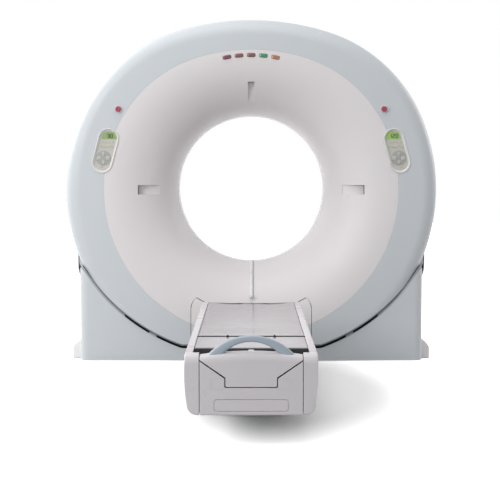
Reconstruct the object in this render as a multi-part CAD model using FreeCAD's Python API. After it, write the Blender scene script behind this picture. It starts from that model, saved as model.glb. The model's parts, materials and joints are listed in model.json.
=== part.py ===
"""CT scanner: a tilting ring gantry on a floor base, with a lifting patient couch.

Frame: millimetres, X to the right seen from the couch end, Y into the gantry, Z up.
The origin lies on the floor straight below the isocentre, where the tilt axis (X) and the
rotation axis (Y) cross. The couch reaches towards -Y and is modelled at its lowest height.
"""
import FreeCAD, Part
import math
import os

from FreeCAD import Vector as V

# ---- Gantry: driving sizes -------------------------------------------------------------
BORE_R = 450.0            # aperture radius
THROAT = 60.0             # half length of the straight throat
HALF_DEPTH = 430.0        # front and rear planes, each side of the isocentre
OUT_R = 1114.0            # outer side radius
ISO_Z = OUT_R - 84        # height of the isocentre
OUT_TOP = OUT_R - 100     # top above the isocentre
SIDE_TURN = 21.6          # degrees above level where the side arc meets the shoulder
CROWN_TURN = 73.0         # degrees above level where the shoulder meets the crown
RIM_R = 93.0              # rounding of the front rim
RIM_DEPTH = 100.0         # depth of the front and rear ring covers
BAND_R = OUT_R - 234      # side radius where the flared cover meets the front ring
BAND_TOP = OUT_TOP - 182  # the same at the top
REAR_BAND_R = OUT_R - 324
REAR_BAND_TOP = OUT_TOP - 264
FLARE_W = BAND_R - BORE_R
FAR = 3 * OUT_R           # past everything, for cutting boxes
SKIN = 6.0                # moulded cover wall
SEAM = 3.0                # visible gap between cover mouldings
SEAT_GAP = 0.3            # between pieces of one body that rest on each other

# ---- Tilt clearance: everything that tilts stays inside an ellipsoid and a cylinder -----
SWEEP_A = OUT_R + 95      # half axis along the tilt axis
SWEEP_B = OUT_R - 27      # half axis square to it
SWEEP_CYL = ISO_Z - 10    # largest reach from the tilt axis, clears the floor
TILT_GAP = 15.0           # gap between the tilting covers and the base
TRIM_START = 100.0        # covers are trimmed from this far below the isocentre
TILT_RANGE = 30.0         # degrees each way
STAND_GAP = 8.0           # the ring covers are notched this far clear of the stands

# ---- Base ------------------------------------------------------------------------------
BASE_HALF_W = OUT_R - 82
BASE_HALF_D = HALF_DEPTH - 25
BASE_CORNER_R = 54.0
BASE_WALL = 5.0
BASE_LIFT = 4.0           # covers hang this far above the floor
SKIRT_X = BASE_HALF_W + 12             # flat skirts of the tilting side covers
SKIRT_REACH = 575.0
BARREL_END = -math.sqrt((OUT_R - SKIN) ** 2 - SKIRT_X ** 2)
TOP_SEAM_X = OUT_R * math.sin(math.radians(46.5))
FLOOR_PLATE_T = 8.0
FLOOR_PLATE_HALF_W = BASE_HALF_W - 32
FLOOR_PLATE_HALF_D = BASE_HALF_D - 25
ANCHOR_X = FLOOR_PLATE_HALF_W - 130
ANCHOR_Y = FLOOR_PLATE_HALF_D - 40
ANCHOR_HOLE_R = 9.0
STAND_X0 = FLOOR_PLATE_HALF_W - 50
STAND_T = 60.0
STAND_HALF_W = 52.0
STAND_HEAD_R = 105.0
STAND_FOOT_HALF_W = FLOOR_PLATE_HALF_D - 90
STAND_FLARE_Z = 330.0
PIN_R = 50.0
BUSH_WALL = 12.0
RUN_FIT = 0.06            # radial running clearance of a pin in its bush
SIDE_FOOT_OUT = 54.0
SIDE_FOOT_H = 112.0
SIDE_FOOT_HALF_D = BASE_HALF_D - 105

# ---- Tilting frame and rotor -----------------------------------------------------------
FRAME_Y0 = 85.0
FRAME_T = 50.0
FRAME_R = OUT_R - 264
HUB_R = BORE_R + 68
RACE_R = HUB_R + 42       # running surface between the two races
RACE_SEAT_R = RACE_R + 40
RACE_GAP = 0.3
HUB_WALL = 13.0
HUB_END_Y = 190.0
DRUM_R = FRAME_R - 50
DRUM_Y0 = 40.0
DRUM_T = 35.0
DRUM_RIM_T = 14.0
DRUM_RIM_Y0 = -60.0
CHEEK_X0 = FRAME_R - 30
CHEEK_X1 = STAND_X0 - 45
CHEEK_HALF_H = 110.0
ROTOR_ROOM = DRUM_R - DRUM_RIM_T - BORE_R
TUBE_R = ROTOR_ROOM * 0.31
TUBE_ORBIT = DRUM_R - DRUM_RIM_T - TUBE_R - 27
TUBE_Y0 = -235.0
FOCUS = TUBE_ORBIT - 45   # focal spot above the isocentre
DETECTOR_R = FOCUS + BORE_R + 55       # inner face of the detector, about the focal spot
DETECTOR_T = ROTOR_ROOM * 0.223
CABINET_OUT = DRUM_R - 35 # the rotor's cabinets end here, from the rotation axis
COOLER_FINS = 5
DETECTOR_HALF_ANGLE = 24.0
MOTOR_ORBIT = FRAME_R + 55
PULLEY_R = 55.0
BELT_T = 4.0
BELT_GAP = 0.3
BELT_Y0 = 46.0
BELT_W = 24.0
MOTOR_ANGLE = 225.0       # clockwise from the top, seen from the couch
MOTOR_R = 62.0
SHAFT_R = 14.0
LUG_T = 18.0
STAY_ANGLES = (-75, -35, 35, 75)
SLIP_Y1 = HUB_END_Y - 8   # rear face of the slip ring's tracks
COUNTERWEIGHTS = ((155, 60), (205, 60))

# ---- Front cover details ---------------------------------------------------------------
LASER_OUT = BORE_R + 0.558 * FLARE_W   # outer end wall of a laser recess, from the bore axis
LASER_IN = BORE_R + 0.186 * FLARE_W
LASER_FLOOR_Y = 140 - HALF_DEPTH
LASER_HALF_W = 30.0
LASER_ANGLES = (0, 90, 270)
PANEL_ORBIT = BAND_R + 20              # control panels, from the bore axis
PANEL_ANGLE = 14.5        # degrees above level
PANEL_W = 124.0
PANEL_L = 272.0
PANEL_RIM = 9.0
PANEL_PROUD = 5.0
PANEL_SINK = 22.0
PANEL_FACE_Y = 6 - HALF_DEPTH
LCD_W = 62.0
LCD_L = 44.0
LCD_PLACE = 82.0
KEY_H = 2.5
KEY_ROWS = ((44.0, 5.5, (-28.5, -9.5, 9.5, 28.5)), (22.0, 4.0, (-32.0, -16.0, 0.0, 16.0, 32.0)))
PAD_PLACE = -42.0
PAD_R = 36.0
STOP_X = BAND_R - 90
STOP_UP = 480.0
STOP_R = 15.0
STOP_TRAVEL = 5.0
STOP_BORE_R = 9.0
LAMP_UP = BAND_TOP - 26
LAMP_PITCH = 72.0
LAMP_DROP = 15.0          # the outer lamps sit this much lower
LAMP_L = 54.0
LAMP_W = 26.0
DOCK_HALF_W = 362.0
DOCK_NOTCH_HALF_W = 268.0
DOCK_CORNER_R = 28.0
DOCK_SLOPE_W = 40.0
TAB_X = 200.0
TAB_W = 60.0
TAB_T = 4.0
TAB_UP = 30.0
DOCK_BACK_Y = 210 - HALF_DEPTH         # the dock panel takes everything in front of this
TRIM_W = 15.0
TRIM_PROUD = 8.0
TRIM_END_R = BORE_R + 0.46 * FLARE_W
DOCK_NOTCH_Z = ISO_Z - TRIM_END_R - 26.2   # the middle of the dock panel's top edge
DOCK_TOP_Z = DOCK_NOTCH_Z + 24
LATCH_R = 10.0
LATCH_H = 16.0
LATCH_ROOT = 14.0

# ---- Couch -----------------------------------------------------------------------------
COUCH_TOP = 395.0
TABLE_HALF_W = 243.0
COUCH_HALF_W = TABLE_HALF_W + 37
COUCH_FAR = -815.0        # clear of the ring when it leans right over
COUCH_NEAR = -3030.0
COUCH_UNDER = 138.0
COUCH_WALL = 5.0
RAIL_GAP = 2.0
TABLE_T = 30.0
TABLE_DISH = 9.0
TABLE_CUT_Y = -2425.0     # joint between the long top and the foot plate
TABLE_JOINT = 7.0         # the joint's open width
FOOT_PLATE_END = -2830.0
TRIM_BAND_END = -2975.0
COVER_HALF_W = TABLE_HALF_W - 27       # seams between the end cover and the side covers
CHANNEL_HALF_W = 107.0
CHANNEL_TOP_Z = 365.0
CHANNEL_SHOULDER_Z = 292.0
CHANNEL_FLOOR_Z = 254.0
END_COVER_T = 55.0
END_COVER_SIDE_Z = 388.0  # top edge of the sliding end cover at its sides
END_CROWN_Z = 403.0       # and in the middle
CLIP_X = 107.0
HANDLE_HALF_W = COVER_HALF_W - 30
HANDLE_FOOT_W = 58.0
HANDLE_TOP_Z = 467.0
HANDLE_CROWN_T = 24.0
HANDLE_DEPTH = 30.0

# ---- Couch lift: two parallel arms on each side ----------------------------------------
ARM_L = 850.0
ARM_START = 6.0           # degrees above level at rest
ARM_PIVOT_Y = (-1180.0, -1680.0)
ARM_PIVOT_Z = 88.0
ARM_X = (92.0, 150.0)
ARM_T = 18.0
ARM_H = 50.0
ARM_PIN_R = 14.0
ARM_TUBE_R = 19.0
OPEN_PIVOT_GAP = 0.4      # radial clearance where the linkage is left open
COUCH_BASE_Y = (-2200.0, -1040.0)
COUCH_BASE_HALF_W = 215.0
COUCH_BASE_T = 12.0
COUCH_ANCHOR_X = 180.0
COUCH_ANCHOR_Y = 510.0
TIE_X = 150.0             # floor bars that tie the couch base to the gantry base
TIE_W = 60.0
TIE_T = 8.0
BASE_SKIRT_H = 60.0
BRACKET_T = 10.0
BRACKET_GAP = 2.0
CROSS_TUBE_PLACE = (0.15, 0.85)
FRAME_WEB_Z = 215.0
CARRIAGE_END_Y = -1950.0
UNDER_RISE_Y0 = -1500.0   # the covers' underside rises from here to the far end
UNDER_RISE_Y1 = -1150.0
UNDER_FAR_Z = 225.0
LEDGE_W = 26.0            # flange of the frame that carries the side covers
LEDGE_T = 8.0
LEDGE_DROP = 12.0
SIDE_TAPER = 16.0         # the side covers narrow by this much towards the floor
SIDE_WIDE_Z = 300.0
SIDE_ROUND_R = 44.0
SIDE_TOP_R = 8.0
END_ROLL_R = 45.0         # the foot end rolls over from its top to its upright face
END_LOW_R = 18.0

AXIS_Y = V(0, 1, 0)
AXIS_X = V(1, 0, 0)
ISO = V(0, 0, ISO_Z)


# ---- Helpers ---------------------------------------------------------------------------
def box(x0, x1, y0, y1, z0, z1):
    return Part.makeBox(x1 - x0, y1 - y0, z1 - z0, V(x0, y0, z0))


def rod_y(r, x, z, y0, y1):
    """Round bar along Y."""
    return Part.makeCylinder(r, y1 - y0, V(x, y0, z), AXIS_Y)


def rod_x(r, y, z, x0, x1):
    """Round bar along X."""
    return Part.makeCylinder(r, x1 - x0, V(x0, y, z), AXIS_X)


def ring_y(r_out, r_in, y0, y1):
    """Ring about the rotation axis."""
    return rod_y(r_out, 0, ISO_Z, y0, y1).cut(rod_y(r_in, 0, ISO_Z, y0 - 1, y1 + 1))


def mirror_x(shape):
    return shape.mirror(V(0, 0, 0), AXIS_X)


def both_sides(shape):
    return Part.makeCompound([shape, mirror_x(shape)])


def at_angle(shape, degrees):
    """Turn a shape made at 12 o'clock clockwise about the rotation axis, seen from the couch."""
    turned = shape.copy()
    turned.rotate(ISO, AXIS_Y, degrees)
    return turned


def sketch_x(points, x0, x1):
    """Prism along X over a polygon of (y, z)."""
    wire = Part.makePolygon([V(x0, y, z) for y, z in points] + [V(x0, *points[0])])
    return Part.Face(wire).extrude(V(x1 - x0, 0, 0))


def sketch_y(points, y0, y1):
    """Prism along Y over a polygon of (x, z)."""
    corners = [V(x, y0, z) for x, z in points]
    return Part.Face(Part.makePolygon(corners + corners[:1])).extrude(V(0, y1 - y0, 0))


def rounded_face(spots, radii):
    """Flat face over a polygon of points whose corners are rounded with arcs."""
    edges = []
    ends = []
    count = len(spots)
    for i, r in enumerate(radii):
        here, before, after = spots[i], spots[i - 1], spots[(i + 1) % count]
        to_before = (before - here).normalize()
        to_after = (after - here).normalize()
        half = to_before.getAngle(to_after) / 2
        if r == 0:
            ends.append((here, here))
            continue
        cut = r / math.tan(half)
        middle = here + (to_before + to_after).normalize() * (r / math.sin(half) - r)
        first, last = here + to_before * cut, here + to_after * cut
        edges.append(Part.Arc(first, middle, last).toShape())
        ends.append((first, last))
    for i in range(count):
        edges.append(Part.LineSegment(ends[i - 1][1], ends[i][0]).toShape())
    return Part.Face(Part.Wire(Part.sortEdges(edges)[0]))


def rounded_y(corners, y0, y1):
    """Prism along Y over corners (x, z, radius)."""
    spots = [V(x, y0, z) for x, z, _ in corners]
    return rounded_face(spots, [r for _, _, r in corners]).extrude(V(0, y1 - y0, 0))


def rounded_x(corners, x0, x1):
    """Prism along X over corners (y, z, radius)."""
    spots = [V(x0, y, z) for y, z, _ in corners]
    return rounded_face(spots, [r for _, _, r in corners]).extrude(V(x1 - x0, 0, 0))


# ---- The gantry's outline --------------------------------------------------------------
def arch(side_r, top, y):
    """Closed outline at depth y: a circle of side_r flattened to `top` above the isocentre.

    Five tangent arcs: crown, two shoulders, two sides that meet at the bottom.
    """
    a = math.radians(SIDE_TURN)
    b = math.radians(CROWN_TURN)
    share = 1 - math.sin(a) + math.cos(a) * math.tan(b) - math.cos(a) / math.cos(b)
    shoulder_r = side_r - (side_r - top) / share
    shoulder = ((side_r - shoulder_r) * math.cos(a), (side_r - shoulder_r) * math.sin(a))
    crown_r = shoulder_r + shoulder[0] / math.cos(b)
    crown = (0.0, top - crown_r)

    def arc(centre, r, first, last, side):
        spots = []
        for angle in (first, (first + last) / 2, last):
            x = centre[0] + r * math.cos(angle)
            z = ISO_Z + centre[1] + r * math.sin(angle)
            spots.append(V(side * x, y, z))
        return Part.Arc(*spots).toShape()

    bottom = -math.pi / 2
    crown_arc = arc(crown, crown_r, b, math.pi - b, 1)
    left_shoulder = arc(shoulder, shoulder_r, b, a, -1)
    left_side = arc((0.0, 0.0), side_r, a, bottom, -1)
    right_side = arc((0.0, 0.0), side_r, bottom, a, 1)
    right_shoulder = arc(shoulder, shoulder_r, a, b, 1)
    return Part.Wire([crown_arc, left_shoulder, left_side, right_side, right_shoulder])


def arch_prism(side_r, top, y0, y1):
    return Part.Face(arch(side_r, top, y0)).extrude(V(0, y1 - y0, 0))


def flare_sections(band_r, band_top, y_end, inset, count):
    """Outlines of a bell mouth: a quarter ellipse from the throat to the end plane."""
    way = 1 if y_end > 0 else -1
    reach = abs(y_end) - THROAT - inset
    sections = []
    for i in range(count):
        t = math.radians(90.0 * i / (count - 1))
        y = way * (THROAT + reach * math.sin(t))
        open_up = 1 - math.cos(t)
        side_r = BORE_R + inset + (band_r - BORE_R - inset) * open_up
        top = BORE_R + inset + (band_top - BORE_R - inset) * open_up
        sections.append(arch(side_r, top, y))
    return sections


def flared_cover(band_r, band_top, y_end):
    """Bell-mouthed cover: smooth towards the bore, plain ruled stages on its hidden back."""
    way = 1 if y_end > 0 else -1
    air = Part.makeLoft(flare_sections(band_r + 1, band_top + 1, y_end, 0, 7), True, False)
    back = flare_sections(band_r, band_top, y_end, SKIN, 5)
    back.append(arch(band_r, band_top, y_end))
    body = Part.makeLoft(back, True, True)
    mouth = arch_prism(band_r + 2, band_top + 2, y_end, y_end + way * 20)
    return body.cut(air).cut(mouth)


# ---- Room that the tilting body sweeps ---------------------------------------------------
def sweep_radius(x, gap):
    return (SWEEP_B + gap) * math.sqrt(1 - (x / (SWEEP_A + gap)) ** 2)


def flat_half_w(gap):
    """Half width of the part of the sweep where the cylinder lies inside the ellipsoid."""
    return (SWEEP_A + gap) * math.sqrt(1 - ((SWEEP_CYL + gap) / (SWEEP_B + gap)) ** 2)


def swept_room(gap):
    """Solid of revolution about the tilt axis: an ellipsoid inside a cylinder."""
    a = SWEEP_A + gap
    b = SWEEP_B + gap
    reach = SWEEP_CYL + gap
    x_flat = flat_half_w(gap)
    ellipse = Part.Ellipse(V(a, 0, ISO_Z), V(0, 0, ISO_Z + b), ISO)
    start = ellipse.parameter(V(a, 0, ISO_Z))
    stop = ellipse.parameter(V(x_flat, 0, ISO_Z + reach))
    curve = Part.ArcOfEllipse(ellipse, start, stop).toShape()
    corner = V(x_flat, 0, ISO_Z + reach)
    flat = Part.LineSegment(corner, V(0, 0, ISO_Z + reach)).toShape()
    drop = Part.LineSegment(V(0, 0, ISO_Z + reach), ISO).toShape()
    axis = Part.LineSegment(ISO, V(a, 0, ISO_Z)).toShape()
    half = Part.Face(Part.Wire([curve, flat, drop, axis])).revolve(ISO, AXIS_X, 360)
    return half.fuse(mirror_x(half)).removeSplitter()


def tilt_trim(inset):
    """What is cut off the lower covers so that they swing clear of the base."""
    block = box(-FAR, FAR, -FAR, FAR, -FAR, ISO_Z - TRIM_START + inset)
    return block.cut(swept_room(-inset))


def stand_sweep():
    """Wedges that the two stands pass through, seen from the tilting covers."""
    lean = math.radians(TILT_RANGE)
    half = (STAND_HALF_W + STAND_GAP) / math.cos(lean)
    reach = SWEEP_CYL * 0.7
    spread = half + reach * math.tan(lean)
    wedge = sketch_x([(-half, ISO_Z), (half, ISO_Z), (spread, ISO_Z - reach),
                      (-spread, ISO_Z - reach)], STAND_X0 - STAND_GAP,
                     STAND_X0 + STAND_T + STAND_GAP)
    return both_sides(wedge)


# ---- Tilting covers --------------------------------------------------------------------
def ring_cover(way, band_r, band_top):
    """Front or rear ring: a flat band with a rounded rim, hollow behind."""
    y_face = way * HALF_DEPTH
    y_open = way * (HALF_DEPTH - RIM_DEPTH)
    solid = arch_prism(OUT_R, OUT_TOP, min(y_face, y_open), max(y_face, y_open))
    rim_edges = [e for e in solid.Edges if abs(e.BoundBox.YMin - y_face) < 0.01
                 and abs(e.BoundBox.YMax - y_face) < 0.01]
    solid = solid.makeFillet(RIM_R, rim_edges)
    stages = []
    for degrees in (0, 30, 60, 90):
        t = math.radians(degrees)
        inner_r = RIM_R - SKIN
        inset = SKIN + inner_r * (1 - math.cos(t))
        y = way * (HALF_DEPTH - SKIN - inner_r * (1 - math.sin(t)))
        stages.append(arch(OUT_R - inset, OUT_TOP - inset, y))
    stages.insert(0, arch(OUT_R - SKIN, OUT_TOP - SKIN, y_open - way))
    hollow = Part.makeLoft(stages, True, True)
    hole = arch_prism(band_r, band_top, min(y_face, y_open) - 5, max(y_face, y_open) + 5)
    hollow = hollow.cut(tilt_trim(SKIN))
    return solid.cut(hollow).cut(hole).cut(tilt_trim(0)).cut(stand_sweep())


def barrel():
    """Shell between the front and rear rings, before it is split into covers."""
    y_open = HALF_DEPTH - RIM_DEPTH
    outer = arch_prism(OUT_R, OUT_TOP, -y_open, y_open)
    inner = arch_prism(OUT_R - SKIN, OUT_TOP - SKIN, -y_open - 1, y_open + 1)
    return outer.cut(inner)


def top_cover():
    """Crown of the barrel between the two shoulder seams."""
    half = TOP_SEAM_X - SEAM / 2
    return barrel().common(box(-half, half, -FAR, FAR, ISO_Z, ISO_Z + FAR))


def upper_side_cover(way):
    """Side of the barrel, with a flat skirt that slides past the base in tilt."""
    wall = barrel().common(box(0, FAR, -FAR, FAR, ISO_Z + BARREL_END, ISO_Z + FAR))
    wall = wall.cut(box(-10, TOP_SEAM_X + SEAM / 2, -FAR, FAR, ISO_Z, ISO_Z + FAR))
    y_open = HALF_DEPTH - RIM_DEPTH
    disc = rod_x(SKIRT_REACH, 0, ISO_Z, SKIRT_X, SKIRT_X + SKIN)
    skirt = disc.common(box(SKIRT_X - 5, SKIRT_X + 20, -y_open, y_open,
                            ISO_Z - SKIRT_REACH, ISO_Z + BARREL_END + 1))
    cover = wall.fuse(skirt).removeSplitter()
    return cover if way > 0 else mirror_x(cover)


def laser_room(grow):
    """Recess at 12 o'clock, cut towards the bore axis: deep outside, running out inside."""
    return box(-LASER_HALF_W - grow, LASER_HALF_W + grow, -HALF_DEPTH + 1,
               LASER_FLOOR_Y + grow, ISO_Z + LASER_IN, ISO_Z + LASER_OUT + grow)


def front_flared_cover():
    """Bell-mouthed front cover with its three moulded laser recesses."""
    cover = flared_cover(BAND_R, BAND_TOP, -HALF_DEPTH)
    air = Part.makeLoft(flare_sections(BAND_R + 1, BAND_TOP + 1, -HALF_DEPTH, 0, 7),
                        True, False)
    for degrees in LASER_ANGLES:
        pocket = at_angle(laser_room(4.0), degrees).cut(air)
        cover = cover.fuse(pocket).cut(at_angle(laser_room(0), degrees))
    return cover


def laser_windows():
    """Dark glass in the outer end wall of each recess."""
    y_mouth = -HALF_DEPTH + 52.0
    pane = box(-LASER_HALF_W + 6, LASER_HALF_W - 6, y_mouth, LASER_FLOOR_Y - 8,
               ISO_Z + LASER_OUT - 3, ISO_Z + LASER_OUT)
    return Part.makeCompound([at_angle(pane, degrees) for degrees in LASER_ANGLES])


def bore_window():
    """Thin clear ring that closes the throat between the two flared covers."""
    return ring_y(BORE_R + 3, BORE_R, -THROAT, THROAT)


def panel_frame(shape, way):
    """Move a shape made upright at 12 o'clock on the front face to a panel's place."""
    turn = 90 - PANEL_ANGLE
    return at_angle(shape, way * turn)


def stadium(length, width, y0, y1, up=0.0, across=0.0):
    """Stadium prism on the front face at 12 o'clock, its long way along the ring."""
    r = width / 2
    half = length / 2 - r
    z = ISO_Z + PANEL_ORBIT + up
    body = box(across - half, across + half, y0, y1, z - r, z + r)
    for end in (-1, 1):
        body = body.fuse(rod_y(r, across + end * half, z, y0, y1))
    return body.removeSplitter()


def panel_bezel():
    """Tray sunk in the front cover, with a rim that stands proud round a recessed face."""
    y_face = -HALF_DEPTH
    tray = stadium(PANEL_L, PANEL_W, y_face - PANEL_PROUD, y_face + PANEL_SINK)
    well = stadium(PANEL_L - 2 * PANEL_RIM, PANEL_W - 2 * PANEL_RIM,
                   y_face - PANEL_PROUD - 1, y_face + 6)
    edge = [e for e in tray.Edges if abs(e.BoundBox.YMax - (y_face - PANEL_PROUD)) < 0.01]
    return tray.makeFillet(3.0, edge).cut(well)


def panel_bezels():
    return Part.makeCompound([panel_frame(panel_bezel(), way) for way in (-1, 1)])


def displays():
    """Screen at the upper end of each panel."""
    both = []
    for way in (-1, 1):
        across = -way * LCD_PLACE
        z = ISO_Z + PANEL_ORBIT
        screen = box(across - LCD_L / 2, across + LCD_L / 2, PANEL_FACE_Y - 3, PANEL_FACE_Y,
                     z - LCD_W / 2, z + LCD_W / 2)
        both.append(panel_frame(screen, way))
    return Part.makeCompound(both)


def keypads():
    """Membrane keys: two rows of round keys, a four-way pad and a lower round key."""
    both = []
    z = ISO_Z + PANEL_ORBIT
    for way in (-1, 1):
        keys = []
        for place, r, lifts in KEY_ROWS:
            for lift in lifts:
                keys.append(rod_y(r, -way * place, z + lift, PANEL_FACE_Y - KEY_H,
                                  PANEL_FACE_Y))
        pad = rod_y(PAD_R, -way * PAD_PLACE, z, PANEL_FACE_Y - 1.5, PANEL_FACE_Y)
        keys.append(pad)
        for i in range(4):
            turn = math.radians(90 * i)
            key = rod_y(10.0, -way * PAD_PLACE + 22 * math.cos(turn),
                        z + 22 * math.sin(turn), PANEL_FACE_Y - 4.5, PANEL_FACE_Y - 1.5)
            keys.append(key)
        keys.append(rod_y(9.0, way * 98.0, z, PANEL_FACE_Y - KEY_H, PANEL_FACE_Y))
        both.append(panel_frame(Part.makeCompound(keys), way))
    return Part.makeCompound(both)


def stop_collars():
    """Collars that the emergency stop buttons travel in."""
    y = -HALF_DEPTH
    ring = rod_y(STOP_R + 6, STOP_X, ISO_Z + STOP_UP, y - 6, y)
    ring = ring.cut(rod_y(STOP_BORE_R, STOP_X, ISO_Z + STOP_UP, y - 7, y + 1))
    return both_sides(ring)


def stop_button(way):
    """Mushroom button: head outside the collar, stem inside it."""
    y = -HALF_DEPTH
    x = way * STOP_X
    z = ISO_Z + STOP_UP
    head = rod_y(STOP_R, x, z, y - 22, y - 6 - STOP_TRAVEL - 0.5)
    front = [e for e in head.Edges if abs(e.BoundBox.YMax - (y - 22)) < 0.01]
    head = head.makeFillet(5.0, front)
    stem = rod_y(8.7, x, z, y - 12, y)
    return head.fuse(stem).removeSplitter()


def indicator_lamps():
    """Five lozenge lenses in an arc under the crown."""
    lamps = []
    for i in range(5):
        step = i - 2
        x = step * LAMP_PITCH
        z = ISO_Z + LAMP_UP - LAMP_DROP * (step / 2) ** 2
        half = LAMP_L / 2
        lens = sketch_y([(-half, z), (-half * 0.45, z + LAMP_W / 2),
                         (half * 0.45, z + LAMP_W / 2), (half, z),
                         (half * 0.45, z - LAMP_W / 2), (-half * 0.45, z - LAMP_W / 2)],
                        -HALF_DEPTH - 4, -HALF_DEPTH + 1.5)
        lens.rotate(V(0, 0, z), AXIS_Y, math.degrees(math.atan(step * 0.09)))
        lens.translate(V(x, 0, 0))
        lamps.append(lens)
    return lamps


def dock_prism(grow):
    """Outline of the removable panel behind the couch, grown by `grow` on each side."""
    w = DOCK_HALF_W + grow
    top = DOCK_TOP_Z + grow
    notch_w = DOCK_NOTCH_HALF_W - grow
    notch = DOCK_NOTCH_Z + grow
    slope_w = notch_w + DOCK_SLOPE_W
    right = [(notch_w, notch, 8.0), (slope_w, top, 8.0), (w, top, DOCK_CORNER_R + grow),
             (w, -200.0, 0)]
    left = [(-x, z, r) for x, z, r in reversed(right)]
    return rounded_y(left + right, -HALF_DEPTH - 30, DOCK_BACK_Y)


def front_covers():
    """Front ring, flared cover and dock panel, cut from one another along their seams."""
    ring = ring_cover(-1, BAND_R, BAND_TOP)
    flared = front_flared_cover()
    tray = stadium(PANEL_L + 0.6, PANEL_W + 0.6, -HALF_DEPTH - 10, -HALF_DEPTH + 60)
    for way in (-1, 1):
        hole = panel_frame(tray, way)
        ring = ring.cut(hole)
        flared = flared.cut(hole)
    for lamp in indicator_lamps():
        flared = flared.cut(lamp)
    ring = ring.cut(both_sides(rod_y(STOP_BORE_R, STOP_X, ISO_Z + STOP_UP, -HALF_DEPTH - 1,
                                     -HALF_DEPTH + STOP_TRAVEL + SKIN)))
    inside = dock_prism(-SEAM / 2)
    outside = dock_prism(SEAM / 2)
    panel = ring.common(inside).fuse(flared.common(inside)).fuse(dock_tabs())
    return ring.cut(outside), flared.cut(outside), panel


def dock_tabs():
    """Tabs behind the panel's top edge that hook behind the flared cover."""
    def behind(inset):
        return Part.makeLoft(flare_sections(BAND_R, BAND_TOP, -HALF_DEPTH, inset, 5), True, True)

    deep = behind(SKIN + TAB_T)
    lap = behind(SKIN + SEAT_GAP)
    x0, x1 = TAB_X - TAB_W / 2, TAB_X + TAB_W / 2
    upper = box(x0, x1, -HALF_DEPTH + SKIN, -THROAT, DOCK_NOTCH_Z - 10, DOCK_NOTCH_Z + TAB_UP)
    root = box(x0, x1, -HALF_DEPTH + SKIN, -THROAT, DOCK_NOTCH_Z - 40, DOCK_NOTCH_Z - SEAM)
    tab = upper.common(deep).cut(lap).fuse(root.common(deep).cut(behind(SKIN - 0.5)))
    return both_sides(tab)


def flare_point(open_up):
    """A point (y, z) of the front flare straight below the bore; open_up runs from 0 to 1."""
    y = -THROAT - (HALF_DEPTH - THROAT) * math.sqrt(1 - (1 - open_up) ** 2)
    return y, ISO_Z - BORE_R - (BAND_R - BORE_R) * open_up


def seam_trim():
    """Raised strip down the bottom of the flare."""
    last = (TRIM_END_R - BORE_R) / (BAND_R - BORE_R)
    steps = 8
    spots = [flare_point(last * (i / steps) ** 2) for i in range(steps + 1)]
    inner, outer = [], []
    for i, (y, z) in enumerate(spots):
        before, after = spots[max(i - 1, 0)], spots[min(i + 1, steps)]
        run = math.hypot(after[0] - before[0], after[1] - before[1])
        out_y, out_z = (after[1] - before[1]) / run, -(after[0] - before[0]) / run
        seat = 0.3
        inner.append(V(-TRIM_W / 2, y + out_y * seat, z + out_z * seat))
        proud = seat + TRIM_PROUD
        outer.append(V(-TRIM_W / 2, y + out_y * proud, z + out_z * proud))
    top, low = Part.BSplineCurve(), Part.BSplineCurve()
    top.interpolate(outer)
    low.interpolate(inner)
    ends = [Part.LineSegment(low_end, top_end).toShape()
            for low_end, top_end in ((inner[0], outer[0]), (inner[-1], outer[-1]))]
    face = Part.Face(Part.Wire([low.toShape(), ends[1], top.toShape(), ends[0]]))
    return face.extrude(V(TRIM_W, 0, 0))


def seam_latch():
    """Knob that locks the lower end of the seam trim."""
    centre_r = TRIM_END_R + LATCH_R
    y, z = flare_point((centre_r - BORE_R) / (BAND_R - BORE_R))
    return rod_y(LATCH_R, 0, z, y - LATCH_H, y + LATCH_ROOT)


# ---- Tilting frame ----------------------------------------------------------------------
def tilt_frame():
    """Main casting: annular plate, two cheeks with trunnion bores, stays to the covers."""
    y1 = FRAME_Y0 + FRAME_T
    frame = ring_y(FRAME_R, RACE_SEAT_R, FRAME_Y0, y1)
    cheek = box(CHEEK_X0, CHEEK_X1, -CHEEK_HALF_H, y1, ISO_Z - CHEEK_HALF_H,
                ISO_Z + CHEEK_HALF_H)
    stay = box(-22, 22, FRAME_Y0 + 5, y1 - 5, ISO_Z + FRAME_R - 20, ISO_Z + OUT_R)
    inside = arch_prism(OUT_R - SKIN - SEAT_GAP, OUT_TOP - SKIN - SEAT_GAP, FRAME_Y0, y1)
    for degrees in STAY_ANGLES:
        frame = frame.fuse(at_angle(stay, degrees).common(inside))
    for way in (-1, 1):
        frame = frame.fuse(cheek if way > 0 else mirror_x(cheek))
    x, z = motor_place()
    lug = rod_y(MOTOR_R + 12, x, z, FRAME_Y0, FRAME_Y0 + LUG_T)
    frame = frame.fuse(lug).cut(rod_y(SHAFT_R + 4, x, z, FRAME_Y0 - 1, y1))
    frame = frame.cut(rod_y(MOTOR_R + 1, x, z, FRAME_Y0 + LUG_T, y1 + 1))
    frame = frame.cut(ring_y(DRUM_R + BELT_T + 4, DRUM_R - 40, 0, FRAME_Y0))
    frame = frame.cut(rod_x(PIN_R, 0, ISO_Z, -CHEEK_X1 - 1, CHEEK_X1 + 1))
    return frame.removeSplitter()


def trunnions():
    """Two pins that carry the tilting frame in the stands."""
    return both_sides(rod_x(PIN_R, 0, ISO_Z, CHEEK_X0, STAND_X0 + STAND_T + 8))


def bearing_outer_race():
    return ring_y(RACE_SEAT_R, RACE_R + RACE_GAP, FRAME_Y0, FRAME_Y0 + FRAME_T)


def motor_place():
    turn = math.radians(MOTOR_ANGLE)
    return MOTOR_ORBIT * math.sin(turn), ISO_Z + MOTOR_ORBIT * math.cos(turn)


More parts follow.
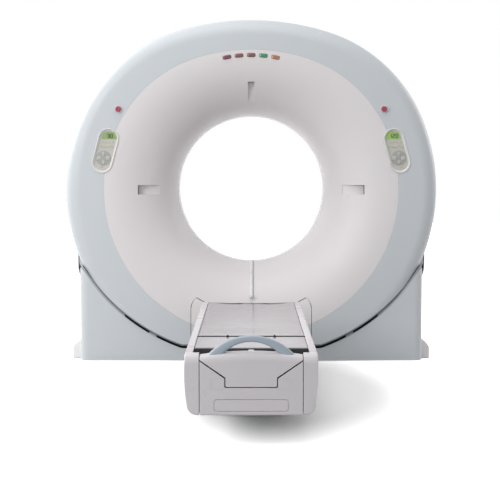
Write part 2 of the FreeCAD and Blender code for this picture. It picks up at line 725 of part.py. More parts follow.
def drive_motor():
    """Flanged motor behind the frame, its shaft reaching forward to the pulley."""
    x, z = motor_place()
    y0 = FRAME_Y0 + LUG_T
    motor = rod_y(MOTOR_R, x, z, y0, y0 + 150)
    return motor.fuse(rod_y(MOTOR_R - 12, x, z, y0 + 150, y0 + 170))


def motor_pulley():
    """Toothless pulley with two flanges, on the motor's shaft."""
    x, z = motor_place()
    pulley = rod_y(PULLEY_R, x, z, BELT_Y0 - 3, BELT_Y0 + BELT_W + 3)
    for y in (BELT_Y0 - 3, BELT_Y0 + BELT_W):
        pulley = pulley.fuse(rod_y(PULLEY_R + 7, x, z, y, y + 3))
    shaft = rod_y(SHAFT_R, x, z, BELT_Y0, FRAME_Y0 + LUG_T - 0.3)
    return pulley.fuse(shaft)


def belt_loop(grow):
    """Prism inside a belt that runs round the drum and the pulley."""
    big, small = DRUM_R + grow, PULLEY_R + grow
    lean = math.asin((big - small) / MOTOR_ORBIT)
    a = math.pi / 2 - lean
    far = V(0, BELT_Y0, ISO_Z + MOTOR_ORBIT)

    def spot(centre, r, angle):
        return V(centre.x + r * math.sin(angle), BELT_Y0, centre.z + r * math.cos(angle))

    centre = V(0, BELT_Y0, ISO_Z)
    edges = [Part.Arc(spot(far, small, -a), spot(far, small, 0), spot(far, small, a)).toShape(),
             Part.LineSegment(spot(far, small, a), spot(centre, big, a)).toShape(),
             Part.Arc(spot(centre, big, a), spot(centre, big, math.pi),
                      spot(centre, big, -a)).toShape(),
             Part.LineSegment(spot(centre, big, -a), spot(far, small, -a)).toShape()]
    return Part.Face(Part.Wire(edges)).extrude(V(0, BELT_W, 0))


def drive_belt():
    loop = belt_loop(BELT_GAP + BELT_T).cut(belt_loop(BELT_GAP))
    return at_angle(loop, MOTOR_ANGLE)


def brush_block():
    """Holder on the frame's back that reaches over the slip ring's rear face."""
    y1 = FRAME_Y0 + FRAME_T
    foot = box(-50, 50, y1, SLIP_Y1 + 25, ISO_Z + RACE_SEAT_R + 8, ISO_Z + RACE_SEAT_R + 55)
    arm = box(-50, 50, SLIP_Y1 + 0.3, SLIP_Y1 + 25, ISO_Z + HUB_R + 12,
              ISO_Z + RACE_SEAT_R + 10)
    return at_angle(foot.fuse(arm).removeSplitter(), 40)


# ---- Rotor -------------------------------------------------------------------------------
def rotor_drum():
    """Plate with a forward rim and a rear hub, one casting."""
    y1 = DRUM_Y0 + DRUM_T
    drum = ring_y(DRUM_R, HUB_R - HUB_WALL, DRUM_Y0, y1)
    drum = drum.fuse(ring_y(DRUM_R, DRUM_R - DRUM_RIM_T, DRUM_RIM_Y0, DRUM_Y0))
    drum = drum.fuse(ring_y(HUB_R, HUB_R - HUB_WALL, y1, HUB_END_Y))
    hole = rod_y(38.0, 0, ISO_Z + 0.5 * (DRUM_R + HUB_R) + 40, DRUM_Y0 - 1, y1 + 1)
    for degrees in (45, 60, 120, 240, 300, 315):
        drum = drum.cut(at_angle(hole, degrees))
    return drum.removeSplitter()


def bearing_inner_race():
    return ring_y(RACE_R, HUB_R, DRUM_Y0 + DRUM_T, FRAME_Y0 + FRAME_T)


def slip_ring():
    """Disc with two raised tracks on its rear face."""
    disc = ring_y(HUB_R + 72, HUB_R, SLIP_Y1 - 22, SLIP_Y1 - 4)
    for r in (HUB_R + 24, HUB_R + 54):
        disc = disc.fuse(ring_y(r + 12, r, SLIP_Y1 - 4, SLIP_Y1))
    return disc.removeSplitter()


def xray_tube():
    """Tube housing: a drum with a narrower cable end, its axis along the rotation axis."""
    z = ISO_Z + TUBE_ORBIT
    housing = rod_y(TUBE_R, 0, z, TUBE_Y0 + 35, DRUM_Y0)
    ends = [e for e in housing.Edges if abs(e.BoundBox.YMax - TUBE_Y0 - 35) < 0.01]
    housing = housing.makeFillet(14.0, ends)
    return housing.fuse(rod_y(TUBE_R * 0.62, 0, z, TUBE_Y0, TUBE_Y0 + 35)).removeSplitter()


def collimator():
    """Block under the tube that narrows towards the bore, with the beam's slot through it."""
    z1 = ISO_Z + TUBE_ORBIT - TUBE_R - 0.3
    z0 = ISO_Z + BORE_R + 32
    block = sketch_y([(-70, z0), (70, z0), (92, z1), (-92, z1)], -55, DRUM_Y0)
    return block.cut(box(-48, 48, -12, 12, z0 - 1, z1 + 1))


def detector():
    """Curved detector housing, concentric with the focal spot."""
    focus = V(0, DRUM_RIM_Y0, ISO_Z + FOCUS)
    r0, r1 = DETECTOR_R, DETECTOR_R + DETECTOR_T
    a = math.radians(DETECTOR_HALF_ANGLE)

    def spot(r, angle):
        return focus + V(r * math.sin(angle), 0, -r * math.cos(angle))

    edges = [Part.Arc(spot(r0, -a), spot(r0, 0), spot(r0, a)).toShape(),
             Part.LineSegment(spot(r0, a), spot(r1, a)).toShape(),
             Part.Arc(spot(r1, a), spot(r1, 0), spot(r1, -a)).toShape(),
             Part.LineSegment(spot(r1, -a), spot(r0, -a)).toShape()]
    return Part.Face(Part.Wire(edges)).extrude(V(0, DRUM_Y0 - DRUM_RIM_Y0, 0))


def rotor_box(r0, r1, half, y0, degrees):
    """Cabinet bolted to the drum plate's front face."""
    return at_angle(box(-half, half, y0, DRUM_Y0, ISO_Z + r0, ISO_Z + r1), degrees)


def hv_generator():
    return rotor_box(HUB_R + 32, CABINET_OUT, 150, -190, 92)


def power_unit():
    return rotor_box(HUB_R + 47, CABINET_OUT, 140, -190, 268)


def tube_cooler():
    """Heat exchanger with its fins towards the couch end."""
    r0, r1 = HUB_R + 52, CABINET_OUT - 25
    pitch = (r1 - r0) / COOLER_FINS
    body = rotor_box(r0, r1, 105, -150, 32)
    for i in range(COOLER_FINS):
        z = ISO_Z + r0 + (i + 0.5) * pitch
        fin = box(-90, 90, -170, -150, z - 4, z + 4)
        body = body.fuse(at_angle(fin, 32))
    return body


def counterweights():
    """Steel slabs that balance the tube against the detector."""
    slabs = []
    for degrees, half in COUNTERWEIGHTS:
        slab = box(-half, half, -30, DRUM_Y0, ISO_Z + CABINET_OUT - 125, ISO_Z + CABINET_OUT)
        slabs.append(at_angle(slab, degrees))
    return Part.makeCompound(slabs)


# ---- Base --------------------------------------------------------------------------------
def base_frame():
    """Floor plate with four anchor holes; the ring swings just above it."""
    w, d = FLOOR_PLATE_HALF_W, FLOOR_PLATE_HALF_D
    plate = box(-w, w, -d, d, 0, FLOOR_PLATE_T)
    for x in (-ANCHOR_X, ANCHOR_X):
        for y in (-ANCHOR_Y, ANCHOR_Y):
            plate = plate.cut(Part.makeCylinder(ANCHOR_HOLE_R, FLOOR_PLATE_T + 2,
                                                V(x, y, -1)))
    return plate


def stand():
    """Right-hand stand: flared foot, column and a round head with the bush seat."""
    z0 = FLOOR_PLATE_T
    foot, col = STAND_FOOT_HALF_W, STAND_HALF_W
    x1 = STAND_X0 + STAND_T
    profile = [(-foot, z0), (foot, z0), (foot, z0 + 50), (col, STAND_FLARE_Z), (col, ISO_Z),
               (-col, ISO_Z), (-col, STAND_FLARE_Z), (-foot, z0 + 50)]
    shape = sketch_x(profile, STAND_X0, x1)
    shape = shape.fuse(rod_x(STAND_HEAD_R, 0, ISO_Z, STAND_X0, x1)).removeSplitter()
    flange = box(STAND_X0 - 70, STAND_X0, -foot, foot, z0, z0 + 22)
    window = sketch_x([(-24, 250), (-80, 80), (80, 80), (24, 250)], STAND_X0 - 1, x1 + 1)
    bore = rod_x(PIN_R + BUSH_WALL, 0, ISO_Z, STAND_X0 - 1, x1 + 1)
    return shape.fuse(flange).cut(window).cut(bore)


def pivot_bushes():
    x1 = STAND_X0 + STAND_T
    bush = rod_x(PIN_R + BUSH_WALL, 0, ISO_Z, STAND_X0, x1)
    return both_sides(bush.cut(rod_x(PIN_R + RUN_FIT, 0, ISO_Z, STAND_X0 - 1, x1 + 1)))


def tilt_gearbox():
    """Gear housing on the right stand, with its motor lying along the stand's face."""
    x0 = STAND_X0 + STAND_T
    case = box(x0, x0 + 72, -88, 88, ISO_Z - 88, ISO_Z + 88)
    upright = [e for e in case.Edges if abs(e.Length - 72) < 0.01]
    case = case.makeFillet(24.0, upright)
    case = case.cut(rod_x(PIN_R + 8, 0, ISO_Z, x0 - 1, x0 + 12))
    return case.fuse(rod_y(33, x0 + 37, ISO_Z - 20, 80, 235))


def base_block(inset, z0):
    w, d = BASE_HALF_W - inset, BASE_HALF_D - inset
    block = box(-w, w, -d, d, z0, ISO_Z - 150)
    upright = [e for e in block.Edges if abs(e.Length - (ISO_Z - 150 - z0)) < 0.01]
    return block.makeFillet(BASE_CORNER_R - inset, upright)


def base_cover():
    """Right half of the base cover: skirt, ear and the curved top that the ring swings over."""
    outer = base_block(0, BASE_LIFT).cut(swept_room(TILT_GAP))
    flat, end = flat_half_w(TILT_GAP), BASE_HALF_W + 8
    stations = ((flat, 22.0), ((flat + end) / 2, 24.0), (end, 30.0))
    points = [V(0, 0, ISO_Z + SWEEP_CYL + TILT_GAP + 22.0)]
    points += [V(x, 0, ISO_Z + sweep_radius(x, TILT_GAP) + more) for x, more in stations]
    points += [V(end, 0, ISO_Z), ISO]
    lid = Part.Face(Part.makePolygon(points + points[:1])).revolve(ISO, AXIS_X, 360)
    cavity = base_block(BASE_WALL, BASE_LIFT - 1).cut(lid)
    cover = outer.cut(cavity)
    gap = 12.0
    slot = box(STAND_X0 - gap, STAND_X0 + STAND_T + gap, -STAND_HEAD_R - gap,
               STAND_HEAD_R + gap, BASE_LIFT - 1, ISO_Z)
    plate_room = box(-1, FLOOR_PLATE_HALF_W + gap, -FLOOR_PLATE_HALF_D - 1,
                     FLOOR_PLATE_HALF_D + 1, -1, FLOOR_PLATE_T + SEAT_GAP)
    tie_room = box(TIE_X - TIE_W / 2 - 1, TIE_X + TIE_W / 2 + 1, -BASE_HALF_D - 1,
                   -FLOOR_PLATE_HALF_D, -1, TIE_T + SEAT_GAP)
    cover = cover.cut(slot).cut(plate_room).cut(tie_room)
    return cover.common(box(0, FAR, -FAR, FAR, 0, ISO_Z))


def side_feet():
    """Rounded outrigger feet along the outside of the base covers."""
    x0 = BASE_HALF_W
    foot = box(x0, x0 + SIDE_FOOT_OUT, -SIDE_FOOT_HALF_D, SIDE_FOOT_HALF_D, 0, SIDE_FOOT_H)
    round_r = 26.0
    edges = []
    for e in foot.Edges:
        outside = abs(e.BoundBox.XMin - x0 - SIDE_FOOT_OUT) < 0.01
        upright = abs(e.BoundBox.ZLength - SIDE_FOOT_H) < 0.01
        along_top = abs(e.BoundBox.ZMin - SIDE_FOOT_H) < 0.01
        if outside and (upright or along_top):
            edges.append(e)
    return both_sides(foot.makeFillet(round_r, edges))


# ---- Couch base and lift -------------------------------------------------------------------
def arm_end():
    """Vector from a lower pivot to its upper pivot at rest, as (dy, dz)."""
    turn = math.radians(ARM_START)
    return -ARM_L * math.cos(turn), ARM_L * math.sin(turn)


def couch_base_plate():
    """Floor plate with anchor holes and the brackets of the four lower pivots."""
    y0, y1 = COUCH_BASE_Y
    w = COUCH_BASE_HALF_W
    plate = box(-w, w, y0, y1, 0, COUCH_BASE_T)
    middle = (y0 + y1) / 2
    tie = box(TIE_X - TIE_W / 2, TIE_X + TIE_W / 2, y1, -FLOOR_PLATE_HALF_D, 0, TIE_T)
    plate = plate.fuse([tie, mirror_x(tie)])
    for x in (-COUCH_ANCHOR_X, COUCH_ANCHOR_X):
        for y in (middle - COUCH_ANCHOR_Y, middle + COUCH_ANCHOR_Y):
            plate = plate.cut(Part.makeCylinder(ANCHOR_HOLE_R, COUCH_BASE_T + 2, V(x, y, -1)))
    for y, x in zip(ARM_PIVOT_Y, ARM_X):
        for edge in (x - BRACKET_GAP - BRACKET_T, x + ARM_T + BRACKET_GAP):
            for way in (-1, 1):
                x0 = edge if way > 0 else -edge - BRACKET_T
                ear = box(x0, x0 + BRACKET_T, y - 26, y + 26, COUCH_BASE_T, ARM_PIVOT_Z)
                plate = plate.fuse(ear).fuse(rod_x(26, y, ARM_PIVOT_Z, x0, x0 + BRACKET_T))
        plate = plate.cut(rod_x(ARM_PIN_R, y, ARM_PIVOT_Z, -w, w))
    return plate.removeSplitter()


def pivot_pins(places):
    """Pins through bracket, arm and bracket, left and right, for each (y, z, x)."""
    pins = []
    for y, z, x, r in places:
        x0 = x - BRACKET_GAP - BRACKET_T
        x1 = x + ARM_T + BRACKET_GAP + BRACKET_T
        pins.append(both_sides(rod_x(r, y, z, x0, x1)))
    return Part.makeCompound(pins)


def lower_pins():
    return pivot_pins([(y, ARM_PIVOT_Z, x, ARM_PIN_R) for y, x in zip(ARM_PIVOT_Y, ARM_X)])


def upper_places():
    dy, dz = arm_end()
    return [(y + dy, ARM_PIVOT_Z + dz, x, ARM_PIN_R) for y, x in zip(ARM_PIVOT_Y, ARM_X)]


def upper_pins():
    return pivot_pins(upper_places())


def lift_arm(index):
    """Pair of bars with round eyes, joined by a cross tube."""
    x = ARM_X[index]
    y0, z0 = ARM_PIVOT_Y[index], ARM_PIVOT_Z
    dy, dz = arm_end()
    h = ARM_H / 2
    bar = box(x, x + ARM_T, y0 - ARM_L, y0, z0 - h, z0 + h)
    bar = bar.fuse(rod_x(h, y0, z0, x, x + ARM_T)).fuse(rod_x(h, y0 - ARM_L, z0, x, x + ARM_T))
    share = CROSS_TUBE_PLACE[index]
    arm = both_sides(bar.removeSplitter())
    tube = rod_x(ARM_TUBE_R, y0 - ARM_L * share, z0, -x - ARM_T / 2, x + ARM_T / 2)
    arm = tube.fuse(list(arm.Solids))
    hole = ARM_PIN_R + RUN_FIT
    arm = arm.cut(rod_x(hole, y0, z0, -x - ARM_T - 1, x + ARM_T + 1))
    far_hole = hole if index == 0 else ARM_PIN_R + OPEN_PIVOT_GAP
    arm = arm.cut(rod_x(far_hole, y0 - ARM_L, z0, -x - ARM_T - 1, x + ARM_T + 1))
    arm.rotate(V(0, y0, z0), AXIS_X, -ARM_START)
    return arm.removeSplitter()


def couch_base_cover():
    """Low plinth cover round the lift, open on top."""
    y0, y1 = COUCH_BASE_Y
    w = COUCH_BASE_HALF_W
    outer = box(-w - 4, w + 4, y0 - 4, y1 + 4, 2, BASE_SKIRT_H)
    room = box(-w - SEAT_GAP, w + SEAT_GAP, y0 - SEAT_GAP, y1 + SEAT_GAP, 0, BASE_SKIRT_H + 1)
    tie = box(TIE_X - TIE_W / 2 - 1, TIE_X + TIE_W / 2 + 1, y1 - 1, y1 + 5, -1,
              TIE_T + SEAT_GAP)
    return outer.cut(room).cut(both_sides(tie))


# ---- Couch body ------------------------------------------------------------------------------
def couch_frame():
    """Trough: two side channels, a floor web with a lift well, and pivot brackets below."""
    y0, y1 = COUCH_NEAR + END_COVER_T, COUCH_FAR
    w = COVER_HALF_W
    top = COUCH_TOP - TABLE_T - LEDGE_DROP
    side = box(w - 6, w, y0, y1, FRAME_WEB_Z, top)
    ledge = box(w - 6, w + LEDGE_W, y0, y1, top - LEDGE_T, top)
    web = box(-w, w, y0, y1, FRAME_WEB_Z, FRAME_WEB_Z + 6)
    frame = web.fuse(list(both_sides(side.fuse(ledge)).Solids))
    for y, z, x, _ in upper_places():
        for edge in (x - BRACKET_GAP - BRACKET_T, x + ARM_T + BRACKET_GAP):
            for way in (-1, 1):
                x0 = edge if way > 0 else -edge - BRACKET_T
                ear = box(x0, x0 + BRACKET_T, y - 26, y + 26, z, FRAME_WEB_Z)
                frame = frame.fuse(ear).fuse(rod_x(26, y, z, x0, x0 + BRACKET_T))
        frame = frame.cut(rod_x(ARM_PIN_R, y, z, -w, w))
    return frame.removeSplitter()


def side_section(inset, y0, y1):
    """Section of the right side cover: upright above, drawn in and rounded towards the floor."""
    x0 = COVER_HALF_W + SEAM / 2 - (10 if inset else 0)
    x1 = COUCH_HALF_W - inset
    under = COUCH_UNDER + inset
    top = COUCH_TOP - inset
    corners = [(x0, under, 0), (x1 - SIDE_TAPER, under, SIDE_ROUND_R - inset),
               (x1, SIDE_WIDE_Z, 160.0), (x1 - 3, top, SIDE_TOP_R), (x0, top, 0)]
    return rounded_y(corners, y0, y1)


def side_profile(inset, x0, x1):
    """Side view of the couch: its underside rises towards the gantry."""
    low, high = COUCH_UNDER + inset, UNDER_FAR_Z + inset
    near, far = COUCH_NEAR + inset, COUCH_FAR - inset
    top = COUCH_TOP - inset
    return rounded_x([(near, low, END_LOW_R - inset), (UNDER_RISE_Y0, low, 0),
                      (UNDER_RISE_Y1, high, 0), (far, high, 0), (far, top, 0),
                      (near, top, END_ROLL_R - inset)], x0, x1)


def couch_side_cover():
    """Right side cover: a long hollow shell, its underside rising at the far end."""
    x0, x1 = COVER_HALF_W + SEAM / 2, COUCH_HALF_W
    body = side_section(0, COUCH_NEAR, COUCH_FAR).common(side_profile(0, x0 - 1, x1 + 1))
    inner = side_section(COUCH_WALL, COUCH_NEAR + COUCH_WALL, COUCH_FAR - COUCH_WALL)
    body = body.cut(inner.common(side_profile(COUCH_WALL, x0 - 20, x1)))
    table_room = box(x0 - 1, TABLE_HALF_W + RAIL_GAP, COUCH_NEAR + END_COVER_T,
                     COUCH_FAR + 10, COUCH_TOP - TABLE_T - 1, COUCH_TOP + 1)
    ledge_top = COUCH_TOP - TABLE_T - LEDGE_DROP
    ledge_room = box(x0 - 1, x0 + LEDGE_W + 1, COUCH_NEAR + END_COVER_T - 0.3, COUCH_FAR + 1,
                     ledge_top - LEDGE_T - 0.3, ledge_top + 0.3)
    return body.cut(table_room).cut(ledge_room)


def table_rails():
    """Light metal strips along both top edges of the couch."""
    rail = box(TABLE_HALF_W + RAIL_GAP + 1, COUCH_HALF_W - 4, COUCH_NEAR + END_COVER_T + 40,
               COUCH_FAR - 2, COUCH_TOP, COUCH_TOP + 2.0)
    return both_sides(rail)


def channel_points(grow):
    """Funnel-shaped section of the sliding end cover, grown by `grow`."""
    w = COVER_HALF_W - SEAM / 2
    return [(-w, END_COVER_SIDE_Z), (-w, CHANNEL_TOP_Z - grow),
            (-CHANNEL_HALF_W - grow, CHANNEL_SHOULDER_Z - grow),
            (-CHANNEL_HALF_W - grow, CHANNEL_FLOOR_Z - grow),
            (CHANNEL_HALF_W + grow, CHANNEL_FLOOR_Z - grow),
            (CHANNEL_HALF_W + grow, CHANNEL_SHOULDER_Z - grow),
            (w, CHANNEL_TOP_Z - grow), (w, END_COVER_SIDE_Z)]


def couch_end_cover():
    """Lower end panel between the side covers, cut out for the sliding end cover."""
    w = COVER_HALF_W - SEAM / 2
    y0, y1 = COUCH_NEAR, COUCH_NEAR + END_COVER_T
    cover = box(-w, w, y0, y1, COUCH_UNDER, END_COVER_SIDE_Z)
    low = [e for e in cover.Edges if abs(e.BoundBox.ZMax - COUCH_UNDER) < 0.01
           and abs(e.BoundBox.YMax - y0) < 0.01]
    cover = cover.makeFillet(END_LOW_R, low)
    cover = cover.cut(sketch_y(channel_points(SEAM / 2), y0 - 1, y1 + 1))
    groove = box(-156, 156, y0 - 1, y0 + 2.0, 146, 196)
    groove = groove.makeFillet(16.0, [e for e in groove.Edges if e.BoundBox.YLength > 2])
    plate = box(-153, 153, y0 - 2, y0 + 3.0, 149, 193)
    plate = plate.makeFillet(13.0, [e for e in plate.Edges if e.BoundBox.YLength > 4])
    return cover.cut(groove.cut(plate))


# ---- Sliding table ------------------------------------------------------------------------------
def dished_slab(y0, y1, half_w):
    """Slab with a shallow hollow along its top and rounded lower edges."""
    z1 = COUCH_TOP
    z0 = z1 - TABLE_T
    left, right = V(-half_w, y0, z1), V(half_w, y0, z1)
    rim = 14.0
    lip_l, lip_r = V(-half_w + rim, y0, z1), V(half_w - rim, y0, z1)
    low_l, low_r = V(-half_w + 60, y0, z0), V(half_w - 60, y0, z0)
    edges = [Part.LineSegment(left, lip_l).toShape(),
             Part.Arc(lip_l, V(0, y0, z1 - TABLE_DISH), lip_r).toShape(),
             Part.LineSegment(lip_r, right).toShape(),
             Part.Arc(right, V(half_w - 18, y0, z0 + 8), low_r).toShape(),
             Part.LineSegment(low_r, low_l).toShape(),
             Part.Arc(low_l, V(-half_w + 18, y0, z0 + 8), left).toShape()]
    return Part.Face(Part.Wire(edges)).extrude(V(0, y1 - y0, 0))


def tabletop():
    return dished_slab(TABLE_CUT_Y + TABLE_JOINT / 2, COUCH_FAR + 4, TABLE_HALF_W)


def foot_plate():
    return dished_slab(FOOT_PLATE_END, TABLE_CUT_Y - TABLE_JOINT / 2, TABLE_HALF_W)


def carriage():
    """Slide beam under the table, inside the couch's trough."""
    z1 = COUCH_TOP - TABLE_T
    z0 = FRAME_WEB_Z + 6 + 0.3
    beam = sketch_y([(-95, z0), (95, z0), (95, z1 - 40), (150, z1), (-150, z1),
                     (-95, z1 - 40)], FOOT_PLATE_END + 20, CARRIAGE_END_Y)
    core = sketch_y([(-80, z0 + 10), (80, z0 + 10), (80, z1 - 48), (-80, z1 - 48)],
                    FOOT_PLATE_END + 19, CARRIAGE_END_Y + 1)
    return beam.cut(core)


def table_clips():
    """Two small straps across the joint of the table."""
    clip = box(CLIP_X - 5, CLIP_X + 5, TABLE_CUT_Y - 38, TABLE_CUT_Y + 34, COUCH_TOP - 14,
               COUCH_TOP - 2.5)
    dish = dished_slab(TABLE_CUT_Y - 60, TABLE_CUT_Y + 60, TABLE_HALF_W)
    return both_sides(clip.cut(dish))


def table_end_trim():
    """Dark soft filler between the foot plate and the end cover."""
    z1 = COUCH_TOP - 6
    return box(-TABLE_HALF_W, TABLE_HALF_W, TRIM_BAND_END, FOOT_PLATE_END, z1 - 26, z1)


def table_end_cover():
    """Sliding end cover: crowned and rounded on top, its section funnelling to the channel."""
    y0, y1 = COUCH_NEAR, COUCH_NEAR + END_COVER_T
    w = COVER_HALF_W - SEAM / 2
    points = channel_points(0)
    wire = [Part.LineSegment(V(x0, y0, z0), V(x1, y0, z1)).toShape()
            for (x0, z0), (x1, z1) in zip(points[:-1], points[1:])]
    wire.append(Part.Arc(V(w, y0, END_COVER_SIDE_Z), V(0, y0, END_CROWN_Z),
                         V(-w, y0, END_COVER_SIDE_Z)).toShape())
    block = Part.Face(Part.Wire(wire)).extrude(V(0, y1 - y0, 0))
    roll = rounded_x([(y0, CHANNEL_FLOOR_Z - 1, 0), (y1, CHANNEL_FLOOR_Z - 1, 0),
                      (y1, END_CROWN_Z, 0), (y0, END_CROWN_Z, END_ROLL_R)], -w - 1, w + 1)
    return block.common(roll)


def table_handle():
    """Arched grip over the foot end: slim at the crown, broad at its two feet."""
    y0 = COUCH_NEAR + END_COVER_T - HANDLE_DEPTH - 6
    z0 = COUCH_TOP - 20
    outer_l, outer_r = V(-HANDLE_HALF_W, y0, z0), V(HANDLE_HALF_W, y0, z0)
    foot_w = HANDLE_FOOT_W
    inner_l, inner_r = V(-HANDLE_HALF_W + foot_w, y0, z0), V(HANDLE_HALF_W - foot_w, y0, z0)
    edges = [Part.Arc(outer_l, V(0, y0, HANDLE_TOP_Z), outer_r).toShape(),
             Part.LineSegment(outer_r, inner_r).toShape(),
             Part.Arc(inner_r, V(0, y0, HANDLE_TOP_Z - HANDLE_CROWN_T), inner_l).toShape(),
             Part.LineSegment(inner_l, outer_l).toShape()]
    arch_grip = Part.Face(Part.Wire(edges)).extrude(V(0, HANDLE_DEPTH, 0))
    long_edges = [e for e in arch_grip.Edges if e.BoundBox.ZLength > 20]
    return arch_grip.makeFillet(HANDLE_DEPTH * 0.3, long_edges).cut(table_end_cover())


# ---- Everything -----------------------------------------------------------------------------
def build():
    ring, flared, dock = front_covers()
    right_base = base_cover()
    right_side = couch_side_cover()
    right_stand = stand()
    return {
        "base_frame": base_frame(),
        "stand_left": mirror_x(right_stand),
        "stand_right": right_stand,
        "pivot_bushes": pivot_bushes(),
        "tilt_gearbox": tilt_gearbox(),
        "base_cover_left": mirror_x(right_base),
        "base_cover_right": right_base,
        "side_feet": side_feet(),
        "couch_base_plate": couch_base_plate(),
        "couch_base_cover": couch_base_cover(),
        "lower_pins": lower_pins(),
        "tilt_frame": tilt_frame(),
        "trunnions": trunnions(),
        "bearing_outer_race": bearing_outer_race(),
        "drive_motor": drive_motor(),
        "drive_belt": drive_belt(),
        "brush_block": brush_block(),
        "front_ring_cover": ring,
        "front_flared_cover": flared,
        "dock_panel": dock,
        "seam_trim": seam_trim().fuse(seam_latch()).cut(flared),
        "bore_window": bore_window(),
        "laser_windows": laser_windows(),
        "panel_bezels": panel_bezels(),
        "displays": displays(),
        "keypads": keypads(),
        "stop_collars": stop_collars(),
        "indicator_lamps": Part.makeCompound(indicator_lamps()),
        "top_cover": top_cover(),
        "upper_side_cover_left": upper_side_cover(-1),
        "upper_side_cover_right": upper_side_cover(1),
        "rear_ring_cover": ring_cover(1, REAR_BAND_R, REAR_BAND_TOP),
        "rear_flared_cover": flared_cover(REAR_BAND_R, REAR_BAND_TOP, HALF_DEPTH),
        "stop_button_left": stop_button(-1),
        "stop_button_right": stop_button(1),
        "rotor_drum": rotor_drum(),
        "bearing_inner_race": bearing_inner_race(),
        "xray_tube": xray_tube(),
        "collimator": collimator(),
        "detector": detector(),
        "hv_generator": hv_generator(),
        "power_unit": power_unit(),
        "tube_cooler": tube_cooler(),
        "slip_ring": slip_ring(),
        "counterweights": counterweights(),
        "motor_pulley": motor_pulley(),
        "lift_arm_front": lift_arm(0),
        "lift_arm_rear": lift_arm(1),
        "couch_frame": couch_frame(),
        "upper_pins": upper_pins(),
        "couch_side_cover_left": mirror_x(right_side),
        "couch_side_cover_right": right_side,
        "couch_end_cover": couch_end_cover(),
        "table_rails": table_rails(),
        "tabletop": tabletop(),
        "foot_plate": foot_plate(),
        "carriage": carriage(),
        "table_end_trim": Part.makeCompound([table_end_trim(), table_clips()]),
        "table_end_cover": table_end_cover(),
        "table_handle": table_handle(),
    }


if __name__ == "__main__":
    os.makedirs("parts", exist_ok=True)
    for name, shape in build().items():
        if not shape.isValid():
            print("not valid:", name)
        shape.exportStep(os.path.join("parts", name + ".step"))
        print(name, len(shape.Solids), round(shape.Volume / 1e6, 2), "litres")
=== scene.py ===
"""CT scanner: the finish of a tilting ring gantry and its patient couch.

Everything is in metres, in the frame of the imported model: +Y along the bore away from the
couch, +Z up, origin on the floor below the isocentre.
"""
import json
import math

import bmesh
import bpy
import numpy as np
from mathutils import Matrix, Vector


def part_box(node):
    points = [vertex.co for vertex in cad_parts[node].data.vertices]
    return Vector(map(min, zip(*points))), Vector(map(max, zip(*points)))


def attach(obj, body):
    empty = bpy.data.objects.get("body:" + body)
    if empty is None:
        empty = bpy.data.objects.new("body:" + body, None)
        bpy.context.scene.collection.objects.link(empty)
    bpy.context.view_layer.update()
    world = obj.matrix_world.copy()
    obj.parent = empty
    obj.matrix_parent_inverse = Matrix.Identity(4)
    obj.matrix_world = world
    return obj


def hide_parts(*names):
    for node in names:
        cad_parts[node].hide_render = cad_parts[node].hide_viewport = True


bl_info = {
    "name": "CT Scanner",
    "version": (1, 0, 0),
    "blender": (4, 5, 0),
    "location": "3D View > Sidebar > CT Scanner",
    "description": "Builds the covers, couch and finishes of a computed tomography scanner",
    "category": "Add Mesh",
}

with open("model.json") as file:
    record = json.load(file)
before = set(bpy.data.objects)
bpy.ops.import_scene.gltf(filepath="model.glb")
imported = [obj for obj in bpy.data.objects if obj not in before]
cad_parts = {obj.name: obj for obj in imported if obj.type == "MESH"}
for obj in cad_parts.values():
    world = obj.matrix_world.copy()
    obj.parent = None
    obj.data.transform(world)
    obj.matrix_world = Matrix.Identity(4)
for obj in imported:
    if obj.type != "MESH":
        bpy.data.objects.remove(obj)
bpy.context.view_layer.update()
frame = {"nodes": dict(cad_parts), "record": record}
slots = {part["node"]: part["material_slot"] for part in frame["record"]["subparts"]}
finishes = {}

# ---- Driving sizes of the gantry, in metres
ISO = 1.030               # height of the isocentre
BORE = 0.450              # aperture radius
THROAT = 0.060            # half length of the straight throat
DEPTH = 0.430             # front and rear planes, each side of the isocentre
OUTER = 1.114             # side radius of the ring
CROWN = 1.014             # its top above the isocentre
SIDE_TURN = math.radians(21.6)    # polar angle where the ring's shoulder starts
CROWN_TURN = math.radians(73.0)   # and where it ends, seen from the shoulder's own centre
RIM = 0.093               # rounding of the ring's rim
RIM_DEPTH = 0.100         # depth of the front and rear ring mouldings
BAND = (0.880, 0.832)     # side radius and top where the flared cover meets the front ring
REAR_BAND = (0.790, 0.750)   # and where it meets the rear ring
SKIN = 0.006              # wall of the gantry's mouldings
FILM = 0.003              # wall of the film across the throat
SEAM = 0.003              # open seam between two mouldings
EASE = 0.0015             # tiny rounding along a moulding's edge
SWEEP_A = 1.209           # half axes of the ellipsoid that the tilting body keeps inside
SWEEP_B = 1.087
SWEEP_REACH = 1.020       # and the cylinder that keeps it off the floor
TILT_GAP = 0.015          # clearance over the surface of the base
TRIM_START = 0.100        # covers are trimmed from this far below the isocentre
TILT = math.radians(30)   # each way
STAND = (0.942, 1.018)    # a stand's inner and outer side, with its clearance
STAND_HALF = 0.060        # half width of its column with its clearance
BASE_HALF_W = 1.032
BASE_HALF_D = 0.405
BASE_CORNER = 0.054
BASE_LIFT = 0.004         # its lower edge above the floor
BASE_WALL = 0.005
TOP_SEAM = OUTER * math.sin(math.radians(46.5))   # height of the crown's seam over ISO
SKIRT_X = BASE_HALF_W + 0.012   # inner side of the flat skirts
SKIRT_REACH = 0.575       # the skirt ends on this circle about the tilt axis
# Webs behind the skirt: inner and outer side, foot and top
SKIRT_WEB = (1.020, SKIRT_X - 0.004, ISO - 0.62, ISO - 0.36)
